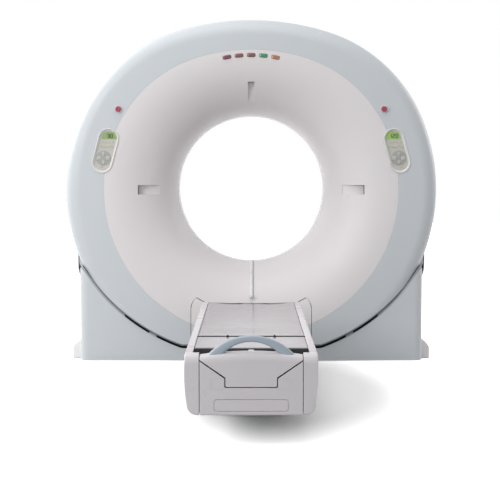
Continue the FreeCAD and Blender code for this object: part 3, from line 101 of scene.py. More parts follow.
# Sections as (x, z, rounding): the right foot, and the right half of the dock panel
FOOT = ((1.026, 0.0, 0.001), (1.086, 0.0, 0.006), (1.086, 0.078, 0.016), (1.050, 0.118, 0.020),
        (1.026, 0.118, 0.001))
DOCK = ((0.264, 0.347, 0.006), (0.331, 0.384, 0.008), (0.362, 0.349, 0.034))
# Laser recesses: degrees from the top, half width, inner and outer reach from the bore's axis
RECESSES = ((0, 0.0200, 0.528, 0.646), (90, 0.0285, 0.552, 0.680), (270, 0.0285, 0.552, 0.680))
RECESS_SINK = (0.0025, 0.040)   # depth behind the bell at the inner and the outer end
PANE_Y = -0.363           # middle of a laser pane
PANE = (0.009, 0.0022)    # its half depth and half height
STRIP_SHARE = 0.46        # share of the bell's width that the seam strip runs down
STRIP = (-0.0097, 0.0095, 0.0080)   # the strip's two sides and how proud it stands
STRIP_PAINTED_SHADOW = (0.0098, 0.0140, 0.0050)   # and those of the grey strip beside it, painted as the strip's shadow
BLACK_GAP_SPANS = ((0.380, 0.570), (0.615, 0.760))   # where each black strip in the gap starts and ends along X

# ---- Controls: outlines are (x, z, rounding), profiles (radius or inset, y from the front plane)
PANEL_ORBIT = 0.900
PANEL_TURN = 74.9         # degrees from the top to a control panel
PANEL_L, PANEL_W = 0.272, 0.124
PANEL_FACE = 0.0095 - DEPTH
DISPLAY_UP = 0.092        # places up a panel's leaning spine, from its middle
UPPER_KEYS_UP = 0.052
LOWER_KEYS_UP = 0.026
PAD_UP = -0.046
LAST_KEY_UP = -0.098
PAD_R = 0.046
TRAY = ((0, 0.020), (0, -0.0030), (0.0008, -0.0045), (0.0022, -0.0052), (0.0052, -0.0052),
        (0.0064, -0.0042), (0.0125, 0.0085), (0.0145, 0.0095))
WINDOW = ((-0.047, -0.021, 0.003), (0.047, -0.021, 0.003), (0.047, 0.000, 0.012),
          (0.028, 0.023, 0.016), (-0.028, 0.023, 0.016), (-0.047, 0.000, 0.012))
# Arrow keys of the round pad: offset and half sizes
PETALS = ((-0.027, 0, 0.0145, 0.0125), (0.027, 0, 0.0145, 0.0125), (0, 0.024, 0.0085, 0.0130),
          (0, -0.025, 0.0085, 0.0120))
STOP = (0.790, ISO + 0.480)   # centre of the right stop button; the left is its mirror image
STOP_ROOM = ((0.0098, -0.02), (0.0098, 0.03))   # hole in the ring for its stem
COLLAR = ((0.021, 0.002), (0.021, -0.004), (0.0203, -0.0058), (0.0186, -0.0062),
          (0.0172, -0.0050), (0.0170, -0.001))
MUSHROOM = ((0.0087, 0.006), (0.0087, -0.012), (0.0150, -0.0125), (0.0158, -0.0150),
            (0.0150, -0.0190), (0.0120, -0.0212), (0.0095, -0.0218), (0.0080, -0.0205),
            (0.0045, -0.0198))
KNOB = ((0.0100, 0.010), (0.0102, -0.004), (0.0092, -0.0075), (0.0062, -0.0090),
        (0.0035, -0.0084))
LENSES = ("rose", "russet", "russet", "green", "orange")
LENS_ORBIT = BAND[1] - 0.0315   # distance of the lamps from the isocentre
LENS_PITCH = 0.072        # from one lamp to the next, across
LENS_SIZE = (0.0270, 0.0130, 0.0110)   # half width, half height, thickness
# Centres of the two small plugs on the rim
PLUGS = ((-0.426, -0.4055, 1.949), (0.413, -0.4055, 1.954))

# ---- Driving sizes of the couch
COUCH_TOP = 0.395
COUCH_HALF_W = 0.280
COUCH_FAR = -0.815
COUCH_NEAR = -3.030
COUCH_UNDER = 0.138
COVER_HALF_W = 0.216
TABLE_HALF_W = 0.243
TABLE_THICK = 0.030
TABLE_CUT = -2.425        # joint between the long top and the foot plate
FOOT_END = -2.830
TABLE_RIM = 0.014         # flat rim beside the bed's hollow
TABLE_EDGE = 0.0015       # small chamfer of that rim
TABLE_BELLY = 0.060       # width of the rounding below it
DISH = 0.009              # depth of the bed's hollow
DISH_RUN = 0.45           # length over which it runs out towards the foot plate
BELLY_START = -1.500      # the underside rises from here towards the gantry
BELLY_RUN = 0.350
BELLY_RISE = 0.087
END_ROLL = 0.045          # rounding of the foot end's upper edge
END_TOE = 0.010           # and of its lower edge
END_COVER = 0.055         # depth of the end covers
END_TOP = 0.403           # highest line of the end covers
END_SEAM = 0.0042         # open seam round the sliding end cover
# Sliding end cover: half width of its channel, heights of its ears, shoulders and sill
FUNNEL = (0.107, 0.4285, 0.297, 0.258)
RAIL_X = 0.261            # middle of each light rail
RAIL_SHORT = 0.095        # how far the rails stop short of the foot end
LUG_X = 0.107             # middle of each lug at the table's joint
TAB_Y = -2.905            # middle of the light tab on the end band
HANDLE = ((0.193, 0.094), (0.131, 0.067))   # half width and height of its outer and inner arcs
HANDLE_HALF = 0.015       # half its depth along Y
HANDLE_Y = COUCH_NEAR + END_COVER - 0.036   # its side towards the foot end
HANDLE_FOOT = COUCH_TOP - 0.020   # height at which both arcs end
# Grooves in the end face: x, z, half width, half height, corner, depth
GROOVES = ((0, 0.181, 0.1545, 0.0245, 0.014, 0.0035), (-0.139, 0.270, 0.0276, 0.0226, 0.003, 0.0008),
           (0.139, 0.270, 0.0276, 0.0226, 0.003, 0.0008))
# Constructed pieces shown as smooth copies: node, body, easing of the edges
WORKS = (("couch_base_plate", "base", 0.002), ("lift_arm_front", "arm_front", 0.0015),
         ("lift_arm_rear", "arm_rear", 0.0015), ("couch_frame", "couch", 0.001))

# ---- Stage
LAMPS = (("key", (-4.2, -4.7, 2.9), 2.5, 150.0), ("top", (-0.6, -2.0, 5.6), 3.6, 70.0),
         ("rim_right", (4.5, 2.2, 2.6), 2.4, 60.0), ("rim_left", (-4.5, 1.6, 3.4), 2.4, 190.0))
LAMP_AIM = (0, -0.8, 0.9)
CAMERA_PLACE = (0.0, -8.80, 1.173)
CAMERA_DIP = 3.43         # degrees that it looks down
SENSOR = 36.0             # millimetres across
PICTURE = 500             # pixels across, in which the next two are measured
FOCAL_PIXELS = 1402
SHIFT_PIXELS = -1.2


class ScannerColours(bpy.types.PropertyGroup):
    """Colours of the painted and moulded surfaces."""
    white: bpy.props.StringProperty(
        name="White covers", description="sRGB hex of the white mouldings", default="DBD7D8")
    blue: bpy.props.StringProperty(
        name="Blue-grey covers", description="sRGB hex of the blue-grey mouldings",
        default="C4C9CD")
    couch: bpy.props.StringProperty(
        name="Couch covers", description="sRGB hex of the couch's mouldings", default="C9C5C9")
    table: bpy.props.StringProperty(
        name="Table", description="sRGB hex of the tabletop", default="8E898E")


class ScannerGrain(bpy.types.PropertyGroup):
    """Fineness of the computed surfaces."""
    columns: bpy.props.IntProperty(
        name="Columns", description="Points round the bore on each moulding", default=480,
        min=96, max=960)
    rows: bpy.props.IntProperty(
        name="Rows", description="Points from the throat to the rim", default=44, min=12, max=96)


# ---- Surfaces: a part is a pair of arrays, its points and its faces
def xyz(x, y, z):
    """Points from coordinates that are spread over one another's rows and columns."""
    return np.stack(np.broadcast_arrays(x, y, z), -1)


def circle(count):
    """Angles once round, without the last, which is the first again."""
    return np.linspace(0, 2 * math.pi, count, endpoint=False)


def squared(u, power):
    """Superellipse: cosine and sine of u, their sizes raised to a power that squares the circle."""
    c, s = np.cos(u), np.sin(u)
    return np.sign(c) * np.abs(c) ** power, np.sign(s) * np.abs(s) ** power


def grid(points, ring=True, loop=False):
    """Part from rows and columns of (x, y, z), each four neighbours a face.

    ring joins the last column to the first, loop the last row to the first.
    """
    rows, columns = points.shape[:2]
    r = np.arange(rows if loop else rows - 1)[:, None]
    c = np.arange(columns if ring else columns - 1)[None, :]
    r_next, c_next = (r + 1) % rows, (c + 1) % columns
    faces = np.stack(np.broadcast_arrays(r * columns + c, r * columns + c_next,
                                         r_next * columns + c_next, r_next * columns + c), -1)
    return points.reshape(-1, 3), faces.reshape(-1, 4)


def capped(points):
    """Tube closed at both ends: its first and last rows are drawn in to their middles."""
    ends = [np.broadcast_to(row.mean(1, keepdims=True), row.shape)
            for row in (points[:1], points[-1:])]
    return grid(np.concatenate([ends[0], points, ends[1]]))


def gathered(parts):
    """Several parts as one: each one's face numbers move up by the points before it."""
    counts = np.cumsum([0] + [len(points) for points, _ in parts])
    faces = [part[1] + start for part, start in zip(parts, counts)]
    return np.concatenate([points for points, _ in parts]), np.concatenate(faces)


def mirrored(part):
    """The same part on the other side of x = 0, its faces turned to look outwards."""
    points, faces = part
    return points * (-1, 1, 1), faces[:, ::-1]


def both(part):
    """A part and its mirror image."""
    return gathered([part, mirrored(part)])


def turned(part, degrees):
    """Turn a part made at 12 o'clock clockwise about the bore's axis, seen from the couch."""
    points, faces = part
    a = math.radians(degrees)
    x, y, z = points.T
    z = z - ISO
    return xyz(x * math.cos(a) + z * math.sin(a), y,
               ISO + z * math.cos(a) - x * math.sin(a)), faces


def softened(corners, steps=5):
    """Closed polygon of (a, b, r): each corner becomes a parabola between points r away."""
    corners = np.array(corners, float)
    here, reach = corners[:, :2], corners[:, 2:3]
    back, ahead = np.roll(here, 1, 0) - here, np.roll(here, -1, 0) - here
    first = here + back / np.linalg.norm(back, axis=1, keepdims=True) * reach
    last = here + ahead / np.linalg.norm(ahead, axis=1, keepdims=True) * reach
    t = np.linspace(0, 1, steps)[None, :, None]
    curve = ((1 - t) ** 2 * first[:, None] + 2 * t * (1 - t) * here[:, None]
             + t ** 2 * last[:, None])
    return curve.reshape(-1, 2)


def prism_y(shape, y0, y1):
    """Closed outline of (x, z) carried straight along Y."""
    x, z = np.asarray(shape, float).T
    return capped(np.stack([xyz(x, y, z) for y in (y0, y1)]))


def prism_x(shape, x0, x1):
    """Closed outline of (y, z) carried straight along X."""
    y, z = np.asarray(shape, float).T
    return capped(np.stack([xyz(x, y, z) for x in (x0, x1)]))


def block(x0, x1, y0, y1, z0, z1):
    """Box with sharp edges, for cutting and for parts too small to show their rounding."""
    return prism_y([(x0, z0), (x1, z0), (x1, z1), (x0, z1)], y0, y1)


def lathe(profile, x, z, columns=48):
    """Profile of (radius, y from the front plane) turned about an axis along Y at (x, z)."""
    r, y = np.array(profile, float).T[:, :, None]
    u = circle(columns)[None, :]
    return capped(xyz(x + r * np.cos(u), y - DEPTH, z + r * np.sin(u)))


def pillow(centre, half, radius, rows=17, columns=32):
    """Rounded box: a sphere of the radius, its octants pushed apart to the half sizes."""
    v = np.linspace(-math.pi / 2, math.pi / 2, rows)[:, None]
    u = circle(columns)[None, :] + math.pi / columns
    ball = xyz(np.cos(v) * np.cos(u), np.cos(v) * np.sin(u), np.sin(v))
    push = np.array(half) - radius
    return grid(np.array(centre) + radius * ball + push * np.tanh(ball * 50))


def dome(centre, half_x, half_z, height, power=2.0, rows=8, columns=24):
    """Low button facing -Y: a superellipse |x|^p + |z|^p = 1 that closes over a rounded edge."""
    c, s = squared(circle(columns)[None, :], 2 / power)
    t = np.linspace(0, math.pi / 2, rows)[:, None]
    swell = np.cos(t) ** 0.7
    face = xyz(half_x * c * swell, -height * np.sin(t), half_z * s * swell)
    return grid(np.concatenate([0 * face[:1], face]) + np.array(centre))


# ---- Curves of the gantry
def outline(side, top, angle):
    """Distance from the isocentre to the ring's outline at a polar angle.

    The outline is four tangent arcs: a circle of radius `side` all round below SIDE_TURN, a
    tighter shoulder on each side up to CROWN_TURN about its own centre, and a flat crown that
    passes `top` above the isocentre. Along the unit vector u each distance solves
    |d u - c| = r for its arc.
    """
    cos_a, sin_a = math.cos(SIDE_TURN), math.sin(SIDE_TURN)
    cos_b, sin_b = math.cos(CROWN_TURN), math.sin(CROWN_TURN)
    share = 1 - sin_a + cos_a * sin_b / cos_b - cos_a / cos_b
    shoulder = side - (side - top) / share
    x, z = (side - shoulder) * cos_a, (side - shoulder) * sin_a
    crown = shoulder + x / cos_b
    u, w = np.abs(np.cos(angle)), np.sin(angle)

    def reach(cx, cz, r):
        """Larger root d of |d u - c| = r: the part of c along u, and half a chord more."""
        along = cx * u + cz * w
        return along + np.sqrt(np.maximum(along ** 2 - cx ** 2 - cz ** 2 + r ** 2, 0))

    turn = np.arctan2(w, u)
    knee = np.arctan2(z + shoulder * sin_b, x + shoulder * cos_b)
    upper = np.where(turn < knee, reach(x, z, shoulder), reach(0 * x, top - crown, crown))
    return np.where(turn < SIDE_TURN, side + 0 * w, upper)


def round_bore(profile, columns, loop=True):
    """Profile of (side, top, y) carried round the bore: x = d cos a, z = ISO + d sin a."""
    side, top, y = np.array(profile, float).T[:, :, None]
    angle = circle(columns)[None, :] - math.pi / 2
    d = outline(side, top, angle)
    return grid(xyz(d * np.cos(angle), y, ISO + d * np.sin(angle)), loop=loop)


def flare_curve(way, band, inset, rows):
    """Bell mouth from the throat to the end plane: a quarter ellipse of angle t.

    The mouth opens from BORE to the band as 1 - cos t while y runs out as sin t.
    """
    t = np.linspace(0, math.pi / 2, rows)
    open_up = 1 - np.cos(t)
    start = BORE + inset
    return xyz(start + (band[0] - start) * open_up, start + (band[1] - start) * open_up,
               way * (THROAT + (DEPTH - THROAT - inset) * np.sin(t)))


def rim_curve(way, inset, steps=14):
    """Quarter circle from the ring's flat face round to its side, inset into the wall."""
    t = np.linspace(0, math.pi / 2, steps)
    drawn = inset + (RIM - inset) * (1 - np.sin(t))
    return xyz(OUTER - drawn, CROWN - drawn,
               way * (DEPTH - inset - (RIM - inset) * (1 - np.cos(t))))


def sweep_radius(x, gap):
    """Reach of the tilting body from the tilt axis: an ellipse cut by a cylinder."""
    a, b = SWEEP_A + gap, SWEEP_B + gap
    return np.minimum(b * np.sqrt(np.maximum(1 - (x / a) ** 2, 0)), SWEEP_REACH + gap)


def sweep_body(gap):
    """Solid of revolution about the tilt axis, with a row exactly where the cylinder starts."""
    a, b = SWEEP_A + gap, SWEEP_B + gap
    flat = a * math.sqrt(1 - ((SWEEP_REACH + gap) / b) ** 2)
    half = flat + (a - flat) * np.sin(np.linspace(0, math.pi / 2, 40))
    x = np.concatenate([-half[::-1], half])[:, None]
    angle = circle(240)[None, :]
    r = sweep_radius(x, gap)
    return grid(xyz(x, r * np.cos(angle), ISO + r * np.sin(angle)))


# ---- Pieces
def twin(name, mesh):
    """Object of a mesh of its own, in the scene."""
    obj = bpy.data.objects.new(name, mesh)
    bpy.context.scene.collection.objects.link(obj)
    return obj


def weld(mesh, gap, mend=False):
    """Merge points closer than the gap; with mend, also drop flat faces and turn all outwards."""
    shape = bmesh.new()
    shape.from_mesh(mesh)
    bmesh.ops.remove_doubles(shape, verts=shape.verts, dist=gap)
    if mend:
        bmesh.ops.dissolve_degenerate(shape, edges=shape.edges, dist=1e-7)
        bmesh.ops.recalc_face_normals(shape, faces=shape.faces)
    shape.to_mesh(mesh)
    shape.free()


def solid(name, part):
    """Object from a part, with doubled points merged and faces outwards."""
    mesh = bpy.data.meshes.new(name)
    mesh.from_pydata(part[0].tolist(), [], part[1].tolist())
    weld(mesh, 1e-6, mend=True)
    return twin(name, mesh)


def carve(obj, cutters, how="DIFFERENCE"):
    """Cut or intersect an object with parts or objects, keep the result, drop the cutters."""
    cutters = [solid("cutter", cutter) if isinstance(cutter, tuple) else cutter
               for cutter in cutters]
    for cutter in cutters:
        step = obj.modifiers.new("carve", "BOOLEAN")
        step.operation = how
        step.object = cutter
    graph = bpy.context.evaluated_depsgraph_get()
    mesh = bpy.data.meshes.new_from_object(obj.evaluated_get(graph))
    obj.modifiers.clear()
    obj.data = mesh
    for cutter in cutters:
        bpy.data.objects.remove(cutter)
    return obj


def settle(obj, slot, body, nodes=(), crease=35, finish=None, edge=0.0):
    """Smooth all but the creases, ease the edges, and give finish, body and replaced nodes."""
    mesh = obj.data
    mesh.polygons.foreach_set("use_smooth", np.ones(len(mesh.polygons), bool))
    mesh.set_sharp_from_angle(angle=math.radians(crease))
    if edge:
        bevel = obj.modifiers.new("eased edges", "BEVEL")
        bevel.width, bevel.segments = edge, 2
        bevel.limit_method, bevel.angle_limit = "ANGLE", math.radians(crease)
        bevel.harden_normals = True
    mesh.materials.clear()
    mesh.materials.append(finishes[finish or slot])
    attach(obj, body)
    if nodes:
        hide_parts(*nodes)


def piece(name, part, slot, body, nodes=(), **looks):
    """Finished piece straight from a part."""
    settle(solid(name, part), slot, body, nodes, **looks)


# ---- Gantry mouldings
def stadium(inset):
    """Outline of a control panel: two half circles and two straights, drawn in by inset."""
    u = circle(64) + math.pi / 64
    r = PANEL_W / 2 - inset
    return np.stack([(PANEL_L - PANEL_W) / 2 * np.sign(np.cos(u)) + r * np.cos(u),
                     r * np.sin(u) + ISO + PANEL_ORBIT], -1)


def front_cuts(stops):
    """Rooms for both control panels, the dock panel's seam and, if asked for, the stop stems."""
    cuts = [turned(prism_y(stadium(-0.0003), -DEPTH - 0.02, -DEPTH + 0.06), way * PANEL_TURN)
            for way in (-1, 1)]
    if stops:
        cuts += [lathe(STOP_ROOM, way * STOP[0], STOP[1]) for way in (-1, 1)]
    return cuts + [dock_prism(SEAM / 2)]


def dock_prism(grow):
    """Outline of the removable panel behind the couch: a raised shoulder each side of a sill."""
    right = [(x + (grow if i == 2 else -grow), z + grow, r) for i, (x, z, r) in enumerate(DOCK)]
    right.append((DOCK[2][0] + grow, -0.2, 0.001))
    left = [(-x, z, r) for x, z, r in reversed(right)]
    return prism_y(softened(right + left), -DEPTH - 0.03, -0.22)


def laser_room(degrees, half, inner, outer, grow):
    """Recess for a positioning laser: nearly flush at its inner end, deeper and deeper outwards.

    Its floor follows the bell, y = -THROAT - L sqrt(1 - (1 - s)^2), and sinks evenly behind it.
    """
    band = BAND[0] if degrees else BAND[1]
    z = np.linspace(inner - grow, outer + grow, 12)
    opened = 1 - (z - BORE) / (band - BORE)
    y = -THROAT - (DEPTH - THROAT) * np.sqrt(1 - opened ** 2) + grow
    y += np.linspace(*RECESS_SINK, 12)
    mouth = -DEPTH - 0.03
    side = [(mouth, ISO + z[0])] + list(zip(y, ISO + z)) + [(mouth, ISO + z[-1])]
    return turned(prism_x(side, -half - grow, half + grow), degrees)


def stand_wedge():
    """Room that the right stand's column sweeps through the ring while the gantry tilts."""
    half = STAND_HALF / math.cos(TILT)
    reach = SWEEP_REACH * 0.7
    spread = half + reach * math.tan(TILT)
    low = ISO - reach
    return prism_x([(-half, ISO), (half, ISO), (spread, low), (-spread, low)], *STAND)


def lower_room(inset):
    """Everything low down that lies outside the sweep of the tilting body."""
    low = solid("low", block(-1.5, 1.5, -0.6, 0.6, -0.6, ISO - TRIM_START + inset))
    return carve(low, [sweep_body(-inset)])


def ring_moulding(name, way, band, columns):
    """Flat ring with a rounded rim, closed below where it swings over the base."""
    side, top = band
    painted_shade_grey = [(side, top, way * (DEPTH - EASE)), (side + EASE, top + EASE, way * DEPTH)]
    back = way * (DEPTH - RIM_DEPTH)
    profile = np.concatenate([painted_shade_grey, rim_curve(way, 0), [(OUTER, CROWN, back), (side, top, back)]])
    ring = solid(name, round_bore(profile, columns))
    past = back - way * 0.001     # the hollow runs through the open back, so no skin is left
    inner = rim_curve(way, SKIN)
    inner = np.concatenate([[(0, 0, inner[0, 2])], inner,
                            [(OUTER - SKIN, CROWN - SKIN, past), (0, 0, past)]])
    hollow = carve(solid("hollow", round_bore(inner, columns, loop=False)), [lower_room(SKIN)])
    return carve(ring, [hollow, lower_room(0), mirrored(stand_wedge()), stand_wedge()])


def flare_moulding(name, way, band, rows, columns):
    """Bell mouth with a wall of even thickness, its outer edge eased."""
    front = flare_curve(way, band, 0, rows)
    front[-1] -= (EASE, EASE, 0)
    back = flare_curve(way, band, SKIN, rows // 3)[::-1]
    edge = [(*band, way * (DEPTH - EASE))]
    return solid(name, round_bore(np.concatenate([front, edge, back]), columns))


def laser_pocket(recess, rows, columns):
    """Walls and floor of a laser recess, cut off just behind the mouth of the bell."""
    wide = (BAND[0] + 0.002, BAND[1] + 0.002)
    curve = flare_curve(-1, wide, 0.001, rows)
    air = np.concatenate([[(0, 0, curve[0, 2])], curve, [(*wide, -0.6), (0, 0, -0.6)]])
    pocket = solid("laser_pocket_%d" % recess[0], laser_room(*recess, 0.004))
    return carve(pocket, [round_bore(air, columns, loop=False), laser_room(*recess, 0)])


class SCANNER_OT_front(bpy.types.Operator):
    """Front mouldings: blue-grey ring, white bell mouth with laser recesses, dock panel"""
    bl_idname = "scanner.front"
    bl_label = "Front mouldings"

    def execute(self, context):
        grain = context.scene.scanner_grain
        ring = ring_moulding("front_ring", -1, BAND, grain.columns)
        flare = flare_moulding("front_bell", -1, BAND, grain.rows, grain.columns)
        docks = [twin(name, obj.data.copy())
                 for name, obj in (("ring_dock", ring), ("dock_moulding", flare))]
        for recess in RECESSES:
            settle(laser_pocket(recess, grain.rows, grain.columns), "shell_white", "gantry",
                   crease=12)
        carve(flare, [laser_room(*recess, 0.0003) for recess in RECESSES])
        carve(flare, front_cuts(stops=False))
        carve(ring, front_cuts(stops=True))
        for dock in docks:
            carve(dock, [dock_prism(-SEAM / 2)], "INTERSECT")
        settle(ring, "shell_blue_grey", "gantry", ("front_ring_cover",))
        settle(flare, "shell_white", "gantry", ("front_flared_cover",))
        settle(docks[1], "shell_white", "gantry", ("dock_panel",))
        settle(docks[0], "shell_blue_grey", "gantry")
        panes = [turned(pillow((0, PANE_Y, ISO + outer - 0.003), (half - 0.004, *PANE), 0.0018),
                        degrees) for degrees, half, _, outer in RECESSES]
        piece("laser_panes", gathered(panes), "laser_glass", "gantry", ("laser_windows",),
              crease=60)
        return {"FINISHED"}


class SCANNER_OT_rear(bpy.types.Operator):
    """Rear mouldings: ring and bell mouth, and the film across the throat"""
    bl_idname = "scanner.rear"
    bl_label = "Rear mouldings"

    def execute(self, context):
        grain = context.scene.scanner_grain
        settle(ring_moulding("rear_ring", 1, REAR_BAND, grain.columns), "shell_white", "gantry",
               ("rear_ring_cover",))
        settle(flare_moulding("rear_bell", 1, REAR_BAND, grain.rows, grain.columns),
               "shell_white", "gantry", ("rear_flared_cover",))
        film = [(r, r, y) for r, y in ((BORE, -THROAT), (BORE, THROAT), (BORE + FILM, THROAT),
                                       (BORE + FILM, -THROAT))]
        piece("bore_film", round_bore(film, grain.columns), "clear_film", "gantry",
              ("bore_window",))
        return {"FINISHED"}


def barrel_strip(first, last, skirt, columns=120, rows=25):
    """Part of the barrel between two polar angles, as a shell with or without a flat skirt.

    The path runs along outline(); the skirt drops from its last point to a circle about the
    tilt axis. Both walls are worked out as the path at OUTER and at OUTER - SKIN.
    """
    y = np.linspace(-1, 1, rows)[:, None] * (DEPTH - RIM_DEPTH - SEAM / 2)
    angle = np.linspace(first, last, columns)[None, :]
    walls = []
    for inset in (0, SKIN):
        d = outline(OUTER - inset, CROWN - inset, angle) + 0 * y
        x, z = d * np.cos(angle), d * np.sin(angle)
        if skirt:
            drop = np.linspace(0, 1, 24)[None, 1:]
            bottom = -np.sqrt(SKIRT_REACH ** 2 - y ** 2)
            x = np.concatenate([x, SKIRT_X + SKIN - inset + 0 * drop + 0 * y], 1)
            z = np.concatenate([z, z[:, -1:] + (bottom - z[:, -1:]) * drop], 1)
        walls.append(xyz(x, y, ISO + z))
    shell = np.concatenate([walls[0], walls[1][:, ::-1]], 1)
    half = shell.shape[1] // 2
    return gathered([grid(shell)] + [grid(np.stack([end[:half], end[half:][::-1]]), ring=False)
                                     for end in (shell[0], shell[-1])])


class SCANNER_OT_barrel(bpy.types.Operator):
    """Barrel mouldings between the rings: crown and two sides with their flat skirts"""
    bl_idname = "scanner.barrel"
    bl_label = "Barrel mouldings"

    def execute(self, context):
        reach = 1.080             # first guess of the outline's distance at the top seam
        for _ in range(13):
            seam = math.acos((TOP_SEAM - SEAM / 2) / reach)
            reach = float(outline(OUTER, CROWN, seam))
        piece("crown_moulding", barrel_strip(seam, math.pi - seam, False), "shell_white",
              "gantry", ("top_cover",), edge=EASE)
        wall = OUTER - SKIN
        end = -math.asin(math.sqrt(wall ** 2 - SKIRT_X ** 2) / wall)
        side = barrel_strip(seam - SEAM / OUTER, end, True)
        for name, cover in (("right", side), ("left", mirrored(side))):
            piece("side_moulding_" + name, cover, "shell_white", "gantry",
                  ("upper_side_cover_" + name,), edge=EASE)
        for way, place in ((-1, "front_"), (1, "rear_")):
            end = way * (DEPTH - RIM_DEPTH)
            web = block(*SKIRT_WEB[:2], *sorted((end, end - way * SKIN)), *SKIRT_WEB[2:])
            for name, side in (("right", web), ("left", mirrored(web))):
                settle(carve(solid("skirt_web_" + place + name, side), [lower_room(0)]),
                       "shell_blue_grey", "gantry")
        return {"FINISHED"}


# ---- Base
def base_plan(inset, steps=16):
    """Half plan of the base from the middle of its front round to the middle of its back."""
    w, d, r = BASE_HALF_W - inset, BASE_HALF_D - inset, BASE_CORNER - inset
    front = np.stack([np.linspace(0.0005, w - r, 60), np.full(60, -d)], -1)
    t = np.linspace(0, math.pi / 2, steps)[1:-1]
    corner = np.stack([w - r + r * np.sin(t), -d + r - r * np.cos(t)], -1)
    side = np.stack([np.full(40, w), np.linspace(r - d, d - r, 40)], -1)
    return np.concatenate([front, corner, side, (corner * (1, -1))[::-1],
                           (front * (1, -1))[::-1]])


def base_height(x, y, gap):
    """Height of the surface that the tilting body swings over."""
    return ISO - np.sqrt(np.maximum(sweep_radius(x, gap) ** 2 - y ** 2, 0))


def base_shell(inset, rows=24):
    """Wall and hollowed top of half the base, as one surface.

    The wall rises from the floor to the sweep's surface; the top then draws each point of the
    plan in towards the middle line y = 0 and takes the sweep's height there. The sweep itself
    dips below the floor, so no height goes under `least`.
    """
    least = BASE_LIFT + 0.002 - 0.3 * inset

    def height(x, y):
        """The sweep's height at a point of the plan, never under `least`."""
        return np.maximum(base_height(x, y, TILT_GAP + inset), least)

    plan_x, plan_y = base_plan(inset).T
    rise = np.linspace(0, 1, 6)[:, None]
    wall = xyz(plan_x, plan_y, BASE_LIFT + (height(plan_x, plan_y) - BASE_LIFT) * rise)
    inward = 1 - np.linspace(0, 1, rows)[1:, None]
    ridge = np.minimum(plan_x, BASE_HALF_W - BASE_HALF_D)
    x, y = ridge + (plan_x - ridge) * inward, plan_y * inward
    return np.concatenate([wall, xyz(x, y, height(x, y))])


class SCANNER_OT_base(bpy.types.Operator):
    """Base mouldings that the ring swings over, and outrigger feet"""
    bl_idname = "scanner.base"
    bl_label = "Base mouldings"

    def execute(self, context):
        outer, inner = base_shell(0), base_shell(BASE_WALL)
        rims = ((outer[0], inner[0]), (outer[:, 0], inner[:, 0]), (outer[:, -1], inner[:, -1]))
        half = gathered([grid(skin, ring=False)
                         for skin in (outer, inner, *(np.stack(rim) for rim in rims))])
        for name, cover in (("right", half), ("left", mirrored(half))):
            piece("base_moulding_" + name, cover, "shell_blue_grey", "base",
                  ("base_cover_" + name,))
        # The feet get a lighter white than the covers: painted light for the light that falls on
        # them.
        piece("outrigger_feet", both(prism_y(softened(FOOT, 7), -0.300, 0.300)),
              "shell_blue_grey", "base", ("side_feet",), finish="foot", edge=0.006)
        return {"FINISHED"}


# ---- Controls
def tray(way):
    """Control panel's tray: the panel's outline, drawn in and set back by TRAY's steps."""
    rings = [np.insert(stadium(inset), 1, y - DEPTH, axis=1) for inset, y in TRAY]
    return turned(capped(np.stack(rings)), way * PANEL_TURN)


def on_panel(way, up, across=0.0):
    """Point (x, z) of a panel: up along its leaning spine, then level across."""
    lean = math.radians(90 - PANEL_TURN)
    x = way * (PANEL_ORBIT * math.cos(lean) - up * math.sin(lean))
    return x + across, ISO + PANEL_ORBIT * math.sin(lean) + up * math.cos(lean)


def key(way, up, across, *sizes, **shape):
    """Button on a panel's face, its place as for on_panel() and its sizes as for dome()."""
    x, z = on_panel(way, up, across)
    return dome((x, PANEL_FACE, z), *sizes, **shape)


def seven_segments(number, x, z, y, height=0.022, pitch=0.019, bar=0.0038):
    """Plain digits of up to seven bars each, every bar a thin prism."""
    lit = {"0": "abcdef", "1": "bc", "2": "abged", "3": "abgcd"}
    w, h = height * 0.52, height / 2
    bars = {"a": (0, h, w, bar), "g": (0, 0, w, bar), "d": (0, -h, w, bar),
            "f": (-w / 2, h / 2, bar, h), "b": (w / 2, h / 2, bar, h),
            "e": (-w / 2, -h / 2, bar, h), "c": (w / 2, -h / 2, bar, h)}
    parts = []
    for place, digit in enumerate(number):
        middle = x + (place - (len(number) - 1) / 2) * pitch
        for dx, dz, across, up in (bars[letter] for letter in lit[digit]):
            parts.append(block(middle + dx - across / 2, middle + dx + across / 2, y - 0.0004,
                               y + 0.0004, z + dz - up / 2, z + dz + up / 2))
    return gathered(parts)


